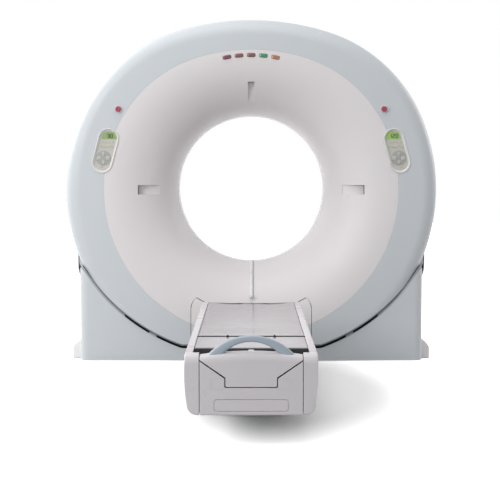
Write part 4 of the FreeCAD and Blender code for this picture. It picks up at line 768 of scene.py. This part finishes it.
class SCANNER_OT_controls(bpy.types.Operator):
    """Control panels, stop buttons, indicator lamps and the small plugs on the rim"""
    bl_idname = "scanner.controls"
    bl_label = "Controls"

    def execute(self, context):
        piece("panel_trays", gathered([tray(-1), tray(1)]), "bezel_plastic", "gantry",
              ("panel_bezels",), crease=50)
        plate = prism_y(stadium(0.0150), PANEL_FACE - 0.0004, PANEL_FACE + 0.0008)
        piece("panel_faces", gathered([turned(plate, way * PANEL_TURN) for way in (-1, 1)]),
              "bezel_plastic", "gantry", finish="panel_face")
        keys, pads, petals = [], [], []
        for way, name, number in ((-1, "left", "30"), (1, "right", "120")):
            x, z = on_panel(way, DISPLAY_UP)
            window = softened(WINDOW) + (x - way * 0.002, z)
            piece("display_" + name, prism_y(window, PANEL_FACE - 0.0012, PANEL_FACE + 0.001),
                  "display_glass", "gantry", ("displays",) if way < 0 else (),
                  finish="display_" + name)
            piece("digits_" + name, seven_segments(number, x + 0.004, z - 0.002,
                                                   PANEL_FACE - 0.0014),
                  "display_glass", "gantry", finish="digits")
            keys += [key(way, UPPER_KEYS_UP, (i - 1.5) * 0.020, 0.0075, 0.0055, 0.0030)
                     for i in range(4)]
            keys += [key(way, LOWER_KEYS_UP + 0.003 * math.cos(i * 2.2), (i - 2) * 0.0175,
                         0.0088, 0.0072, 0.0034, power=2.6) for i in range(5)]
            keys.append(key(way, LAST_KEY_UP, 0, 0.0095, 0.0095, 0.0030))
            pads.append(key(way, PAD_UP, 0, PAD_R, PAD_R, 0.0030))
            x, z = on_panel(way, PAD_UP)
            petals += [dome((x + dx, PANEL_FACE - 0.0022, z + dz), half_x, half_z, 0.0042,
                            power=3.0) for dx, dz, half_x, half_z in PETALS]
        for name, parts, nodes, finish in (("round_keys", keys, ("keypads",), "key_plastic"),
                                           ("pad_discs", pads, (), "pad"),
                                           ("pad_petals", petals, (), "petal")):
            piece(name, gathered(parts), "key_plastic", "gantry", nodes, crease=60,
                  finish=finish)

        x, z = STOP
        piece("stop_surrounds", gathered([lathe(COLLAR, x, z), lathe(COLLAR, -x, z)]),
              "bezel_plastic", "gantry", ("stop_collars",), crease=50)
        for side, name in ((-x, "left"), (x, "right")):
            piece("mushroom_" + name, lathe(MUSHROOM, side, z), "stop_red", "stop_" + name,
                  ("stop_button_" + name,), crease=60)

        button = dome((0, 0.0045 - DEPTH, ISO + LENS_ORBIT), *LENS_SIZE, 4.0, 10, 48)
        # Each lamp's lens glows faintly though the lamps are unlit: painted light.
        for step, colour in enumerate(LENSES):
            angle = math.degrees(math.asin((step - 2) * LENS_PITCH / LENS_ORBIT))
            piece("lens_%d" % step, turned(button, angle), "lamp_lens", "gantry",
                  () if step else ("indicator_lamps",), crease=70, finish="lamp_" + colour)
        piece("rim_plugs", gathered([dome(place, 0.0065, 0.0065, 0.0035) for place in PLUGS]),
              "bezel_plastic", "gantry", crease=60)
        return {"FINISHED"}


# ---- Trim and seals
def flare_strip(x0, x1, proud, rows=40):
    """Strip down the bottom of the bell mouth: a rounded section set square to the curve."""
    curve = flare_curve(-1, BAND, 0, 400)
    curve = curve[curve[:, 0] <= BORE + STRIP_SHARE * (BAND[0] - BORE)]
    curve = curve[np.linspace(0, len(curve) - 1, rows).astype(int)]
    y, z = curve[:, 2:], ISO - curve[:, :1]
    run_y, run_z = np.gradient(y, axis=0), np.gradient(z, axis=0)
    length = np.hypot(run_y, run_z)
    c, s = squared(circle(20), 0.5)
    lift = proud / 2 * (1 + s)
    return capped(xyz((x0 + x1) / 2 + (x1 - x0) / 2 * c, y - np.abs(run_z / length) * lift,
                      z + np.abs(run_y / length) * lift))


def black_gap_strip(x0, x1):
    """Black strip in the gap between base and ring, lying along the front edge of the base.

    Its section is a superellipse about a point 8.5 mm outside the ring's sweep.
    """
    x = np.linspace(x0, x1, 24)[:, None]
    c, s = squared(circle(16)[None, :], 0.6)
    y = -BASE_HALF_D + 0.0115 + 0.012 * c
    return capped(xyz(x, y, ISO - np.sqrt((sweep_radius(x, 0) + 0.0085 + 0.0060 * s) ** 2
                                          - y ** 2)))


def shade_strip_in_gap():
    """Grey strip of painted shade in the gap over half the base: four corners carried round its
    plan.

    At each of two insets one corner stays 4.5 mm outside the ring's sweep and the other sinks
    4 mm under the surface of the base.
    """
    low, high = TILT_GAP + 0.004, 0.0045
    walls = []
    for inset, gap in ((0.004, low), (0.004, high), (0.010, high), (0.010, low)):
        x, y = base_plan(inset).T
        walls.append(xyz(x, y, base_height(x, y, gap)))
    return capped(np.stack(walls, 1))


class SCANNER_OT_trim(bpy.types.Operator):
    """Seam strip and knob under the bore, the strip's painted shadow, and the black strips and
    painted grey shade in the gap over the base
    """
    bl_idname = "scanner.trim"
    bl_label = "Trim and seals"

    def execute(self, context):
        piece("seam_strip", flare_strip(*STRIP), "aluminium", "gantry",
              ("seam_trim",), crease=60, finish="strip")
        # The grey strip beside the seam strip is painted shadow: it lies where the strip's shadow
        # falls.
        piece("seam_strip_painted_shadow", flare_strip(*STRIP_PAINTED_SHADOW), "dark_trim", "gantry",
              crease=60, finish="painted_shade_grey")
        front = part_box("seam_trim")[0][1] + DEPTH
        knob = [(r, y + front) for r, y in KNOB]
        z = ISO - BORE - STRIP_SHARE * (BAND[0] - BORE) + 0.004
        piece("seam_knob", lathe(knob, 0.0005, z), "bezel_plastic", "gantry", crease=50)
        piece("gap_black_strips", gathered([both(black_gap_strip(*span)) for span in BLACK_GAP_SPANS]), "dark_trim",
              "base", crease=60)
        # Grey strip in the gap over the base: painted shade along the gap.
        piece("gap_shade_strips", both(shade_strip_in_gap()), "bezel_plastic", "base", crease=40, finish="painted_shade_grey")
        return {"FINISHED"}


# ---- Couch
def couch_levels(y):
    """Lowest and highest point of the couch's side view at y: rolled near end, rising belly."""
    near = np.clip((COUCH_NEAR + END_ROLL - y) / END_ROLL, 0, 1)
    top = COUCH_TOP - END_ROLL * (1 - np.sqrt(1 - near ** 2))
    toe = np.clip((COUCH_NEAR + END_TOE - y) / END_TOE, 0, 1)
    rise = np.clip((y - BELLY_START) / BELLY_RUN, 0, 1)
    return COUCH_UNDER + BELLY_RISE * rise + END_TOE * (1 - np.sqrt(1 - toe ** 2)), top


def side_moulding():
    """Right side cover: barrel-shaped section carried along the couch.

    The section's z is scaled at each y to lie between the side view's lowest and highest point.
    """
    x0, x1 = COVER_HALF_W + SEAM / 2, COUCH_HALF_W
    x, z = softened([(x0, COUCH_UNDER, 0.001), (x1 - 0.016, COUCH_UNDER, 0.044),
                     (x1, 0.300, 0.080), (x1 - 0.002, COUCH_TOP, 0.009),
                     (x0, COUCH_TOP, 0.002)], 9).T
    roll = 1 - np.cos(np.linspace(0, math.pi / 2, 20))
    y = np.concatenate([COUCH_NEAR + END_ROLL * roll,
                        np.linspace(COUCH_NEAR + END_COVER, BELLY_START, 20),
                        np.linspace(BELLY_START, BELLY_START + BELLY_RUN, 16)[1:],
                        [-1.0, COUCH_FAR]])[:, None]
    low, top = couch_levels(y)
    return capped(xyz(x, y, low + (top - low) * ((z - COUCH_UNDER) / (COUCH_TOP - COUCH_UNDER))))


def end_block():
    """Foot end between the side covers: a rolled side view, crowned across its top."""
    near, far = COUCH_NEAR, COUCH_NEAR + END_COVER
    y, z = softened([(near, COUCH_UNDER, END_TOE), (far, COUCH_UNDER, 0.001),
                     (far, END_TOP, 0.003), (near, END_TOP, END_ROLL)], 16).T
    half = COVER_HALF_W - SEAM / 2
    x = np.linspace(-half, half, 49)[:, None]
    crown = END_TOP - 0.015 * (x / half) ** 2
    return capped(xyz(x, y, COUCH_UNDER + (z - COUCH_UNDER) * (crown - COUCH_UNDER)
                      / (END_TOP - COUCH_UNDER)))


def funnel(grow):
    """Section of the sliding end cover: broad above, a narrow channel below.

    Grown, its sides move out and its sill down by grow, and its slopes down by 1.2 times grow.
    """
    w, ear, shoulder, sill = FUNNEL
    w, ear, shoulder, sill = w + grow, ear - grow * 1.2, shoulder - grow * 1.2, sill - grow
    shape = [(-0.3, ear, 0.001), (-w, shoulder, 0.002), (-w, sill, 0.006), (w, sill, 0.006),
             (w, shoulder, 0.002), (0.3, ear, 0.001), (0.3, 0.5, 0.001), (-0.3, 0.5, 0.001)]
    return prism_y(softened(shape), COUCH_NEAR - 0.01, COUCH_NEAR + END_COVER + 0.01)


def groove(x, z, half_w, half_h, r, deep):
    """Rectangular groove with rounded corners in the end face, as two walls and a floor."""
    wide, y0, y1 = 0.0015, COUCH_NEAR - 0.002, COUCH_NEAR + deep
    rings = []
    for grow, y in ((wide, y0), (wide, y1), (-wide, y1), (-wide, y0)):
        corners = [(sx * (half_w + grow), sz * (half_h + grow), r + grow)
                   for sx, sz in ((-1, -1), (1, -1), (1, 1), (-1, 1))]
        across, up = softened(corners, 8).T
        rings.append(xyz(across + x, y, up + z))
    return grid(np.stack(rings), loop=True)


def dished_slab(y0, y1):
    """Table section carried along Y: a dish z = top - d (1 - (x / half)^2) over a rounded belly.

    The depth d is DISH along the bed and runs out to nothing at the joint with the foot plate.
    """
    w, top, middle = TABLE_HALF_W, COUCH_TOP, COUCH_TOP - TABLE_THICK / 2
    x = np.linspace(-1, 1, 61) * (w - TABLE_RIM)
    t = np.linspace(0, math.pi / 2, 14)
    right = np.stack([w - TABLE_BELLY + TABLE_BELLY * np.cos(t),
                      top - TABLE_EDGE - (TABLE_THICK - TABLE_EDGE) * np.sin(t)], -1)
    shape = np.concatenate([np.stack([x, top + 0 * x], -1), [(w - TABLE_EDGE, top)], right,
                            right[::-1] * (-1, 1), [(TABLE_EDGE - w, top)]])
    y = np.concatenate([[y0], np.linspace(y0 + 0.002, y1 - 0.002, 24), [y1]])[:, None]
    draw, squeeze = np.ones_like(y), np.ones_like(y)
    draw[[0, -1]], squeeze[[0, -1]] = 0.94, 0.99     # the last 2 mm at each end are drawn in
    run = np.clip((y - TABLE_CUT) / DISH_RUN, 0, 1)
    bowl = np.zeros(len(shape))
    bowl[:len(x)] = 1 - (x / (w - TABLE_RIM)) ** 2
    return capped(xyz(shape[:, 0] * squeeze, y, middle + (shape[:, 1] - middle) * draw
                      - DISH * run ** 2 * (3 - 2 * run) * bowl))


def handle():
    """Crescent grip: a superellipse section carried between two arcs of different radius.

    An arc of half width w and height h has the radius (w^2 + h^2) / 2h.
    """
    s = np.linspace(-1, 1, 72)[:, None]
    arcs = []
    for half, high in HANDLE:
        r = (half ** 2 + high ** 2) / (2 * high)
        a = math.asin(half / r) * s
        arcs.append((r * np.sin(a), HANDLE_FOOT + high - r * (1 - np.cos(a))))
    outer, inner = np.array(arcs)
    middle, reach = (outer + inner) / 2, (outer - inner) / 2
    a, b = squared(circle(40)[None, :], 0.7)
    y = HANDLE_Y + HANDLE_HALF + HANDLE_HALF * b
    return capped(xyz(middle[0] + reach[0] * a, y, middle[1] + reach[1] * a))


class SCANNER_OT_couch(bpy.types.Operator):
    """Couch mouldings: side covers, foot end and light rails"""
    bl_idname = "scanner.couch"
    bl_label = "Couch mouldings"

    def execute(self, context):
        side = side_moulding()
        room = block(-TABLE_HALF_W - 0.002, TABLE_HALF_W + 0.002, COUCH_NEAR + END_COVER,
                     COUCH_FAR + 0.01, COUCH_TOP - 0.032, COUCH_TOP + 0.01)
        for name, cover in (("right", side), ("left", mirrored(side))):
            settle(carve(solid("couch_side_" + name, cover), [room]), "couch_shell", "couch",
                   ("couch_side_cover_" + name,))
        lower = carve(solid("foot_panel", end_block()), [funnel(END_SEAM)])
        carve(lower, [groove(*sizes) for sizes in GROOVES])
        settle(lower, "couch_shell", "couch", ("couch_end_cover",))
        rails = [pillow((x, (COUCH_FAR + COUCH_NEAR + RAIL_SHORT) / 2, COUCH_TOP),
                        (0.0145, (COUCH_FAR - COUCH_NEAR - RAIL_SHORT) / 2, 0.002), 0.0018)
                 for x in (-RAIL_X, RAIL_X)]
        piece("rail_strips", gathered(rails), "aluminium", "couch", ("table_rails",),
              finish="couch_shell")
        return {"FINISHED"}


class SCANNER_OT_table(bpy.types.Operator):
    """Sliding table: dished top, foot plate, sliding end cover and handle"""
    bl_idname = "scanner.table"
    bl_label = "Sliding table"

    def execute(self, context):
        piece("table_slab", dished_slab(TABLE_CUT + 0.0035, COUCH_FAR + 0.004),
              "table_laminate", "table", ("tabletop",))
        piece("foot_slab", dished_slab(FOOT_END, TABLE_CUT - 0.0035), "table_laminate", "table",
              ("foot_plate",))
        upper = carve(solid("sliding_end", end_block()), [funnel(0.0)], "INTERSECT")
        settle(upper, "couch_shell", "table", ("table_end_cover",))
        # The handle's darker blue-grey is painted shade, for the shade on its front face.
        piece("crescent_handle", handle(), "shell_blue_grey", "table", ("table_handle",),
              finish="handle")
        return {"FINISHED"}


class SCANNER_OT_table_trim(bpy.types.Operator):
    """Dark joint and lugs across the table, the black end band and its light tab"""
    bl_idname = "scanner.table_trim"
    bl_label = "Table trim"

    def execute(self, context):
        bar = pillow((0, TABLE_CUT, COUCH_TOP - 0.0030), (TABLE_HALF_W + 0.008, 0.012, 0.0042),
                     0.0030)
        lugs = [dome((x, TABLE_CUT - 0.013, COUCH_TOP - 0.001), 0.0075, 0.0105, 0.008,
                     power=1.4) for x in (-LUG_X, LUG_X)]
        end = COUCH_NEAR + END_COVER
        band = pillow((0, (FOOT_END + end) / 2, COUCH_TOP - 0.0175),
                      (TABLE_HALF_W - 0.001, (FOOT_END - end) / 2 - 0.0005, 0.0135), 0.006)
        tab = pillow((0, TAB_Y, COUCH_TOP - 0.0035), (0.0115, 0.034, 0.0016), 0.0014)
        for name, part, slot, nodes in (("table_joint", gathered([bar] + lugs), "dark_trim", ()),
                                        ("end_band", band, "dark_trim", ("table_end_trim",)),
                                        ("end_tab", tab, "bezel_plastic", ())):
            piece(name, part, slot, "table", nodes, crease=60)
        return {"FINISHED"}


class SCANNER_OT_works(bpy.types.Operator):
    """Smooth copies of the constructed steel and cast pieces, their edges eased"""
    bl_idname = "scanner.works"
    bl_label = "Working parts"

    def execute(self, context):
        for node, body, edge in WORKS:
            copy = twin(node + "_finish", frame["nodes"][node].data.copy())
            weld(copy.data, 1e-5)
            settle(copy, slots[node], body, (node,), crease=32, edge=edge)
        return {"FINISHED"}


# ---- Materials
def linear(hex_colour):
    """sRGB hex digits to linear RGBA: c / 12.92 below the toe, else ((c + 0.055) / 1.055)^2.4."""
    parts = [int(hex_colour[i:i + 2], 16) / 255 for i in (0, 2, 4)]
    return [c / 12.92 if c <= 0.04045 else ((c + 0.055) / 1.055) ** 2.4 for c in parts] + [1.0]


def add_node(tree, kind, settings=None, inputs=None):
    """Adds one shader node, sets its properties, then its sockets to values or links."""
    node = tree.nodes.new(kind)
    for name, value in (settings or {}).items():
        setattr(node, name, value)
    for name, value in (inputs or {}).items():
        if isinstance(value, bpy.types.NodeSocket):
            tree.links.new(value, node.inputs[name])
        else:
            node.inputs[name].default_value = value
    return node


class Finish:
    """One material being built: a Principled shader, its tree, and the object's own place."""

    def __init__(self, name, colour, roughness, metallic=0.0, ior=1.5, **sockets):
        self.material = bpy.data.materials.new(name)
        self.material.use_nodes = True
        self.tree = self.material.node_tree
        self.shader = self.tree.nodes["Principled BSDF"]
        self.colour, self.roughness = linear(colour), roughness
        sockets.update(Base_Color=self.colour, Roughness=roughness, Metallic=metallic, IOR=ior)
        for socket, value in sockets.items():
            self.shader.inputs[socket.replace("_", " ")].default_value = value
        self.place = add_node(self.tree, "ShaderNodeTexCoord").outputs["Object"]
        self.normal = None

    def noise(self, size_mm, detail=3.0, squeeze=(1, 1, 1)):
        """Noise whose lumps are about size_mm across, drawn out where squeeze is under 1."""
        spread = add_node(self.tree, "ShaderNodeMapping", None,
                          {"Vector": self.place, "Scale": squeeze})
        lumps = add_node(self.tree, "ShaderNodeTexNoise", None,
                         {"Vector": spread.outputs[0], "Scale": 500 / size_mm, "Detail": detail})
        return lumps.outputs["Fac"]

    def bump(self, height, depth_mm, strength=1.0):
        """Adds relief of depth_mm on top of what the finish has already."""
        sockets = {"Height": height, "Strength": strength, "Distance": depth_mm / 1000}
        if self.normal:
            sockets["Normal"] = self.normal
        self.normal = add_node(self.tree, "ShaderNodeBump", None, sockets).outputs["Normal"]
        self.tree.links.new(self.normal, self.shader.inputs["Normal"])
        return self

    def drift(self, size_mm, tint):
        """Colour that wanders a little darker over patches of size_mm."""
        dark = [c * (1 - tint) for c in self.colour[:3]] + [1.0]
        mix = add_node(self.tree, "ShaderNodeMix", {"data_type": "RGBA"},
                       {0: self.noise(size_mm, 2.0), 6: self.colour, 7: dark})
        self.tree.links.new(mix.outputs[2], self.shader.inputs["Base Color"])
        return self

    def handled(self, size_mm, spread):
        """Roughness that rises and falls over patches of size_mm, as wiped and touched."""
        level = add_node(self.tree, "ShaderNodeMapRange", None,
                         {"Value": self.noise(size_mm, 4.0), "From Min": 0.3, "From Max": 0.7,
                          "To Min": self.roughness - spread, "To Max": self.roughness + spread})
        self.tree.links.new(level.outputs[0], self.shader.inputs["Roughness"])
        return self


def moulded(name, colour, roughness=0.46):
    """Painted polyurethane: broad soft highlights, faint orange peel, a slight drift of tone.

    The peel's lumps of 1.6 mm are finer than a pixel of the picture and only soften the light.
    """
    paint = Finish(name, colour, roughness, ior=1.49)
    return paint.drift(420, 0.035).handled(90, 0.05).bump(paint.noise(1.6, 1.0), 0.02, 0.5)


def satin(name, colour, roughness, grain_mm=1.5, relief_mm=0.03, tint=0.05, **sockets):
    """Moulded or coated surface: an even sheen, broken up by grain of the size grain_mm.

    At the distance of the picture a pixel is about 6 mm, so the grain only spreads the
    highlight, and the slow drift of tone and gloss is what shows.
    """
    coat = Finish(name, colour, roughness, **sockets)
    coat.drift(60, tint).handled(30, roughness * 0.15)
    return coat.bump(coat.noise(grain_mm), relief_mm, 0.6)


def machined(name, colour, roughness, squeeze=(1, 0.05, 1)):
    """Bare metal with fine tool lines drawn out along one way, and a slight tarnish."""
    metal = Finish(name, colour, roughness, metallic=1.0)
    metal.drift(45, 0.12).handled(20, roughness * 0.25)
    return metal.bump(metal.noise(0.9, 2.0, squeeze), 0.02, 0.5)


def lens(name, colour, glow):
    """Tinted acrylic lens: a clear gloss over a colour that glows a little by itself; on the unlit
    lamps this glow is painted light.
    """
    tint = Finish(name, colour, 0.12, ior=1.49, Emission_Color=linear(colour),
                  Emission_Strength=glow, Coat_Weight=0.6)
    return tint.drift(9, 0.25).handled(12, 0.03)


class SCANNER_OT_finishes(bpy.types.Operator):
    """Makes the materials and gives them to the pieces carried over from the construction"""
    bl_idname = "scanner.finishes"
    bl_label = "Finishes"

    def execute(self, context):
        colours = context.scene.scanner_colours
        made = {
            # Painted mouldings: highlights that roll softly round the rims, the couch glossier
            "shell_white": moulded("white painted polyurethane", colours.white),
            "shell_blue_grey": moulded("blue-grey painted polyurethane", colours.blue),
            "couch_shell": moulded("light grey painted polyurethane", colours.couch, 0.30),
            # Feet: the white of the covers painted lighter, for the light that falls on them
            "foot": moulded("near-white polyurethane with painted light", "EDEAEA"),
            # Handle: blue-grey painted darker than the covers, for the shade on its front face
            "handle": moulded("blue-grey grip with painted shade", "9DA9B4", 0.40),
            # Laminate under clear coat: a grey sheen that picks up the bore, hardly any relief
            "table_laminate": satin("clear-coated table laminate", colours.table, 0.15, 2.4,
                                    0.0015, 0.02),
            # Powder coat and painted castings: dull, with a pebbled grain
            "painted_steel": satin("powder-coated steel", "5A6066", 0.45, 1.2, 0.06),
            "cast_frame": satin("painted cast iron", "6A7076", 0.5, 4.0, 0.25, 0.10),
            # Ground and turned metal: bright, with fine tool lines
            "bearing_steel": machined("ground bearing steel", "B4B6BA", 0.25),
            "bush_bronze": machined("turned bronze", "B08A4E", 0.30),
            # Rubber: next to no highlight, black for trim, belt and the dark strips in the gap; the
            # grey is painted shade beside the seam strip and along the gap
            "dark_trim": satin("black rubber", "151618", 0.85, 0.8, 0.05, 0.15,
                               Specular_IOR_Level=0.05),
            # Grey strips that stand in for shade, beside the seam strip and along the gap over the
            # base
            "painted_shade_grey": satin("grey painted shade for gaps", "A6ABAF", 0.75, 0.8, 0.04, 0.08),
            "belt_rubber": satin("belt rubber", "141414", 0.70, 0.6, 0.08, 0.20),
            # Film and acrylic panes: milky, with a thin gloss on top
            "clear_film": satin("milky polyester film", "D3D3D5", 0.22, 6.0, 0.02, 0.03),
            "laser_glass": satin("frosted acrylic", "8D8686", 0.20, 3.0, 0.01, 0.08),
            # Displays: a clear gloss over a faint green glow, with dark segments
            "display_glass": lens("backlit crystal display", "8FB94E", 0.25),
            "display_left": lens("backlit crystal display, left", "8CA86A", 0.12),
            "display_right": lens("backlit crystal display, right", "8DB45A", 0.18),
            "digits": satin("crystal display segments", "1B2415", 0.35, 0.5, 0.01),
            # Silicone, styrene and nylon of the controls: soft sheen, each a shade apart
            "key_plastic": satin("silicone keys", "BCB9A6", 0.48, 0.5, 0.02),
            "pad": satin("silicone pad", "A2A29F", 0.50, 0.5, 0.02),
            "petal": satin("silicone arrow keys", "B6B6B1", 0.45, 0.5, 0.02),
            "bezel_plastic": satin("moulded styrene plastic", "D8D7D4", 0.36, 0.8, 0.03, 0.03),
            "panel_face": satin("printed polyester face", "BCBBB6", 0.42, 0.6, 0.02, 0.03),
            "stop_red": satin("red nylon", "A5324A", 0.30, 0.6, 0.02, 0.10),
            # Unlit tinted lamps: deep colour with a sharp small highlight, and a faint painted glow
            "lamp_lens": lens("tinted acrylic", "9A5A4A", 0.05),
            "lamp_rose": lens("rose acrylic", "6E3044", 0.04),
            "lamp_russet": lens("russet acrylic", "73463F", 0.04),
            "lamp_green": lens("green acrylic", "2E7F58", 0.06),
            "lamp_orange": lens("orange acrylic", "A56E4C", 0.05),
            # Trim metals shine more sharply than the paint; cabinets and motor are plain enamel
            "strip": satin("lacquered aluminium strip", "DEDCDC", 0.28, 1.0, 0.02, 0.03),
            "aluminium": machined("satin aluminium", "C6C8CA", 0.32, (1, 1, 0.06)),
            "copper_alloy": machined("copper slip ring", "B87A50", 0.30),
            "cabinet_grey": satin("powder-coated cabinet", "94999E", 0.45, 1.2, 0.06),
            "motor_black": satin("black enamel", "232326", 0.40, 1.4, 0.05, 0.15),
        }
        finishes.update({name: finish.material for name, finish in made.items()})
        for name, node in frame["nodes"].items():
            node.data.materials.clear()
            node.data.materials.append(finishes[slots[name]])
        return {"FINISHED"}


# ---- Stage
def direction(aim):
    """Euler angles that turn a lamp's -Z towards the vector aim."""
    flat = math.hypot(aim[0], aim[1])
    return (math.atan2(flat, -aim[2]), 0.0, math.atan2(-aim[0], aim[1]))


def background_ray(tree):
    """1 where the background is seen straight, in a reflection or through glass, else 0."""
    rays = add_node(tree, "ShaderNodeLightPath").outputs
    seen = rays["Is Camera Ray"]
    for kind in ("Is Transmission Ray", "Is Glossy Ray"):
        seen = add_node(tree, "ShaderNodeMath", {"operation": "MAXIMUM"},
                        {0: seen, 1: rays[kind]}).outputs[0]
    return seen


def floor_paper():
    """Studio paper: keeps the soft shadow near the object, and further off a painted glow turns it
    white.
    """
    paper = Finish("white studio paper", "F2F2F2", 0.9, Emission_Color=(1, 1, 1, 1))
    paper.bump(paper.noise(1.5), 0.02, 0.3)
    seen = background_ray(paper.tree)
    tone = add_node(paper.tree, "ShaderNodeMix", {"data_type": "RGBA"},
                    {0: seen, 6: linear("A8A8A8"), 7: linear("F2F2F2")})
    near = add_node(paper.tree, "ShaderNodeMapping", None,
                    {"Vector": paper.place, "Location": (-0.15, 0.75, 0), "Scale": (1, 0.5, 1)})
    length = add_node(paper.tree, "ShaderNodeVectorMath", {"operation": "LENGTH"},
                      {0: near.outputs[0]})
    # Painted light: an emission that rises outside an ellipse round the couch and washes the shadow
    # out to white.
    glow = add_node(paper.tree, "ShaderNodeMapRange", {"interpolation_type": "SMOOTHSTEP"},
                    {"Value": length.outputs["Value"], "From Min": 0.42, "From Max": 0.95,
                     "To Min": 0.0, "To Max": 1.0})
    bright = add_node(paper.tree, "ShaderNodeMath", {"operation": "MULTIPLY"},
                      {0: glow.outputs[0], 1: seen})
    for output, socket in ((tone.outputs[2], "Base Color"),
                           (bright.outputs[0], "Emission Strength")):
        paper.tree.links.new(output, paper.shader.inputs[socket])
    return paper.material


class SCANNER_OT_stage(bpy.types.Operator):
    """Sets the pale floor, the studio lights and the camera"""
    bl_idname = "scanner.stage"
    bl_label = "Stage"

    def execute(self, context):
        scene = context.scene
        scene.world = bpy.data.worlds.new("studio")
        scene.world.use_nodes = True
        tree = scene.world.node_tree
        shade = tree.nodes["Background"]
        glow = add_node(tree, "ShaderNodeMapRange", None,
                        {"Value": background_ray(tree), "To Min": 0.68, "To Max": 1.0})
        shade.inputs["Color"].default_value = (1, 1, 1, 1)
        tree.links.new(glow.outputs[0], shade.inputs["Strength"])

        for name, place, size, power in LAMPS:
            lamp = bpy.data.lights.new(name, "AREA")
            lamp.energy, lamp.size = power, size
            holder = twin(name, lamp)
            holder.location = place
            holder.rotation_euler = direction(np.array(LAMP_AIM) - np.array(place))

        steps = np.linspace(-20, 20, 41)
        x, y = np.meshgrid(steps, steps)
        floor = solid("floor", grid(xyz(x, y, 0), ring=False))
        floor.data.materials.append(floor_paper())

        data = bpy.data.cameras.new("photo_camera")
        data.sensor_width = SENSOR
        data.lens = FOCAL_PIXELS / PICTURE * SENSOR
        data.shift_x = SHIFT_PIXELS / PICTURE
        camera = twin("photo_camera", data)
        camera.location = CAMERA_PLACE
        camera.rotation_euler = (math.radians(90 - CAMERA_DIP), 0.0, 0.0)
        scene.camera = camera
        scene.view_settings.view_transform = "Standard"
        return {"FINISHED"}


# ---- Panel and registration
STEPS = (SCANNER_OT_finishes, SCANNER_OT_front, SCANNER_OT_rear, SCANNER_OT_barrel,
         SCANNER_OT_base, SCANNER_OT_controls, SCANNER_OT_trim, SCANNER_OT_couch,
         SCANNER_OT_table, SCANNER_OT_table_trim, SCANNER_OT_works, SCANNER_OT_stage)


class SCANNER_PT_panel(bpy.types.Panel):
    """Lists the steps that build the scanner"""
    bl_label = "CT Scanner"
    bl_idname = "SCANNER_PT_panel"
    bl_space_type = "VIEW_3D"
    bl_region_type = "UI"
    bl_category = "CT Scanner"

    def draw(self, context):
        for step in STEPS:
            self.layout.operator(step.bl_idname)
        for group in (context.scene.scanner_colours, context.scene.scanner_grain):
            for name in type(group).__annotations__:
                self.layout.prop(group, name)


CLASSES = (ScannerColours, ScannerGrain, *STEPS, SCANNER_PT_panel)


def register():
    """Tell Blender of the classes and hang both property groups on the scene."""
    for cls in CLASSES:
        bpy.utils.register_class(cls)
    bpy.types.Scene.scanner_colours = bpy.props.PointerProperty(type=ScannerColours)
    bpy.types.Scene.scanner_grain = bpy.props.PointerProperty(type=ScannerGrain)


def unregister():
    """Take away what register() added."""
    del bpy.types.Scene.scanner_colours
    del bpy.types.Scene.scanner_grain
    for cls in reversed(CLASSES):
        bpy.utils.unregister_class(cls)


def corners(bounds):
    """Box corners as plain lists, which JSON can hold."""
    return [[float(v) for v in corner] for corner in bounds]


def main():
    """Build everything in order."""
    register()
    for step in STEPS:
        getattr(bpy.ops.scanner, step.bl_idname.partition(".")[2])()


if __name__ == "__main__":
    main()
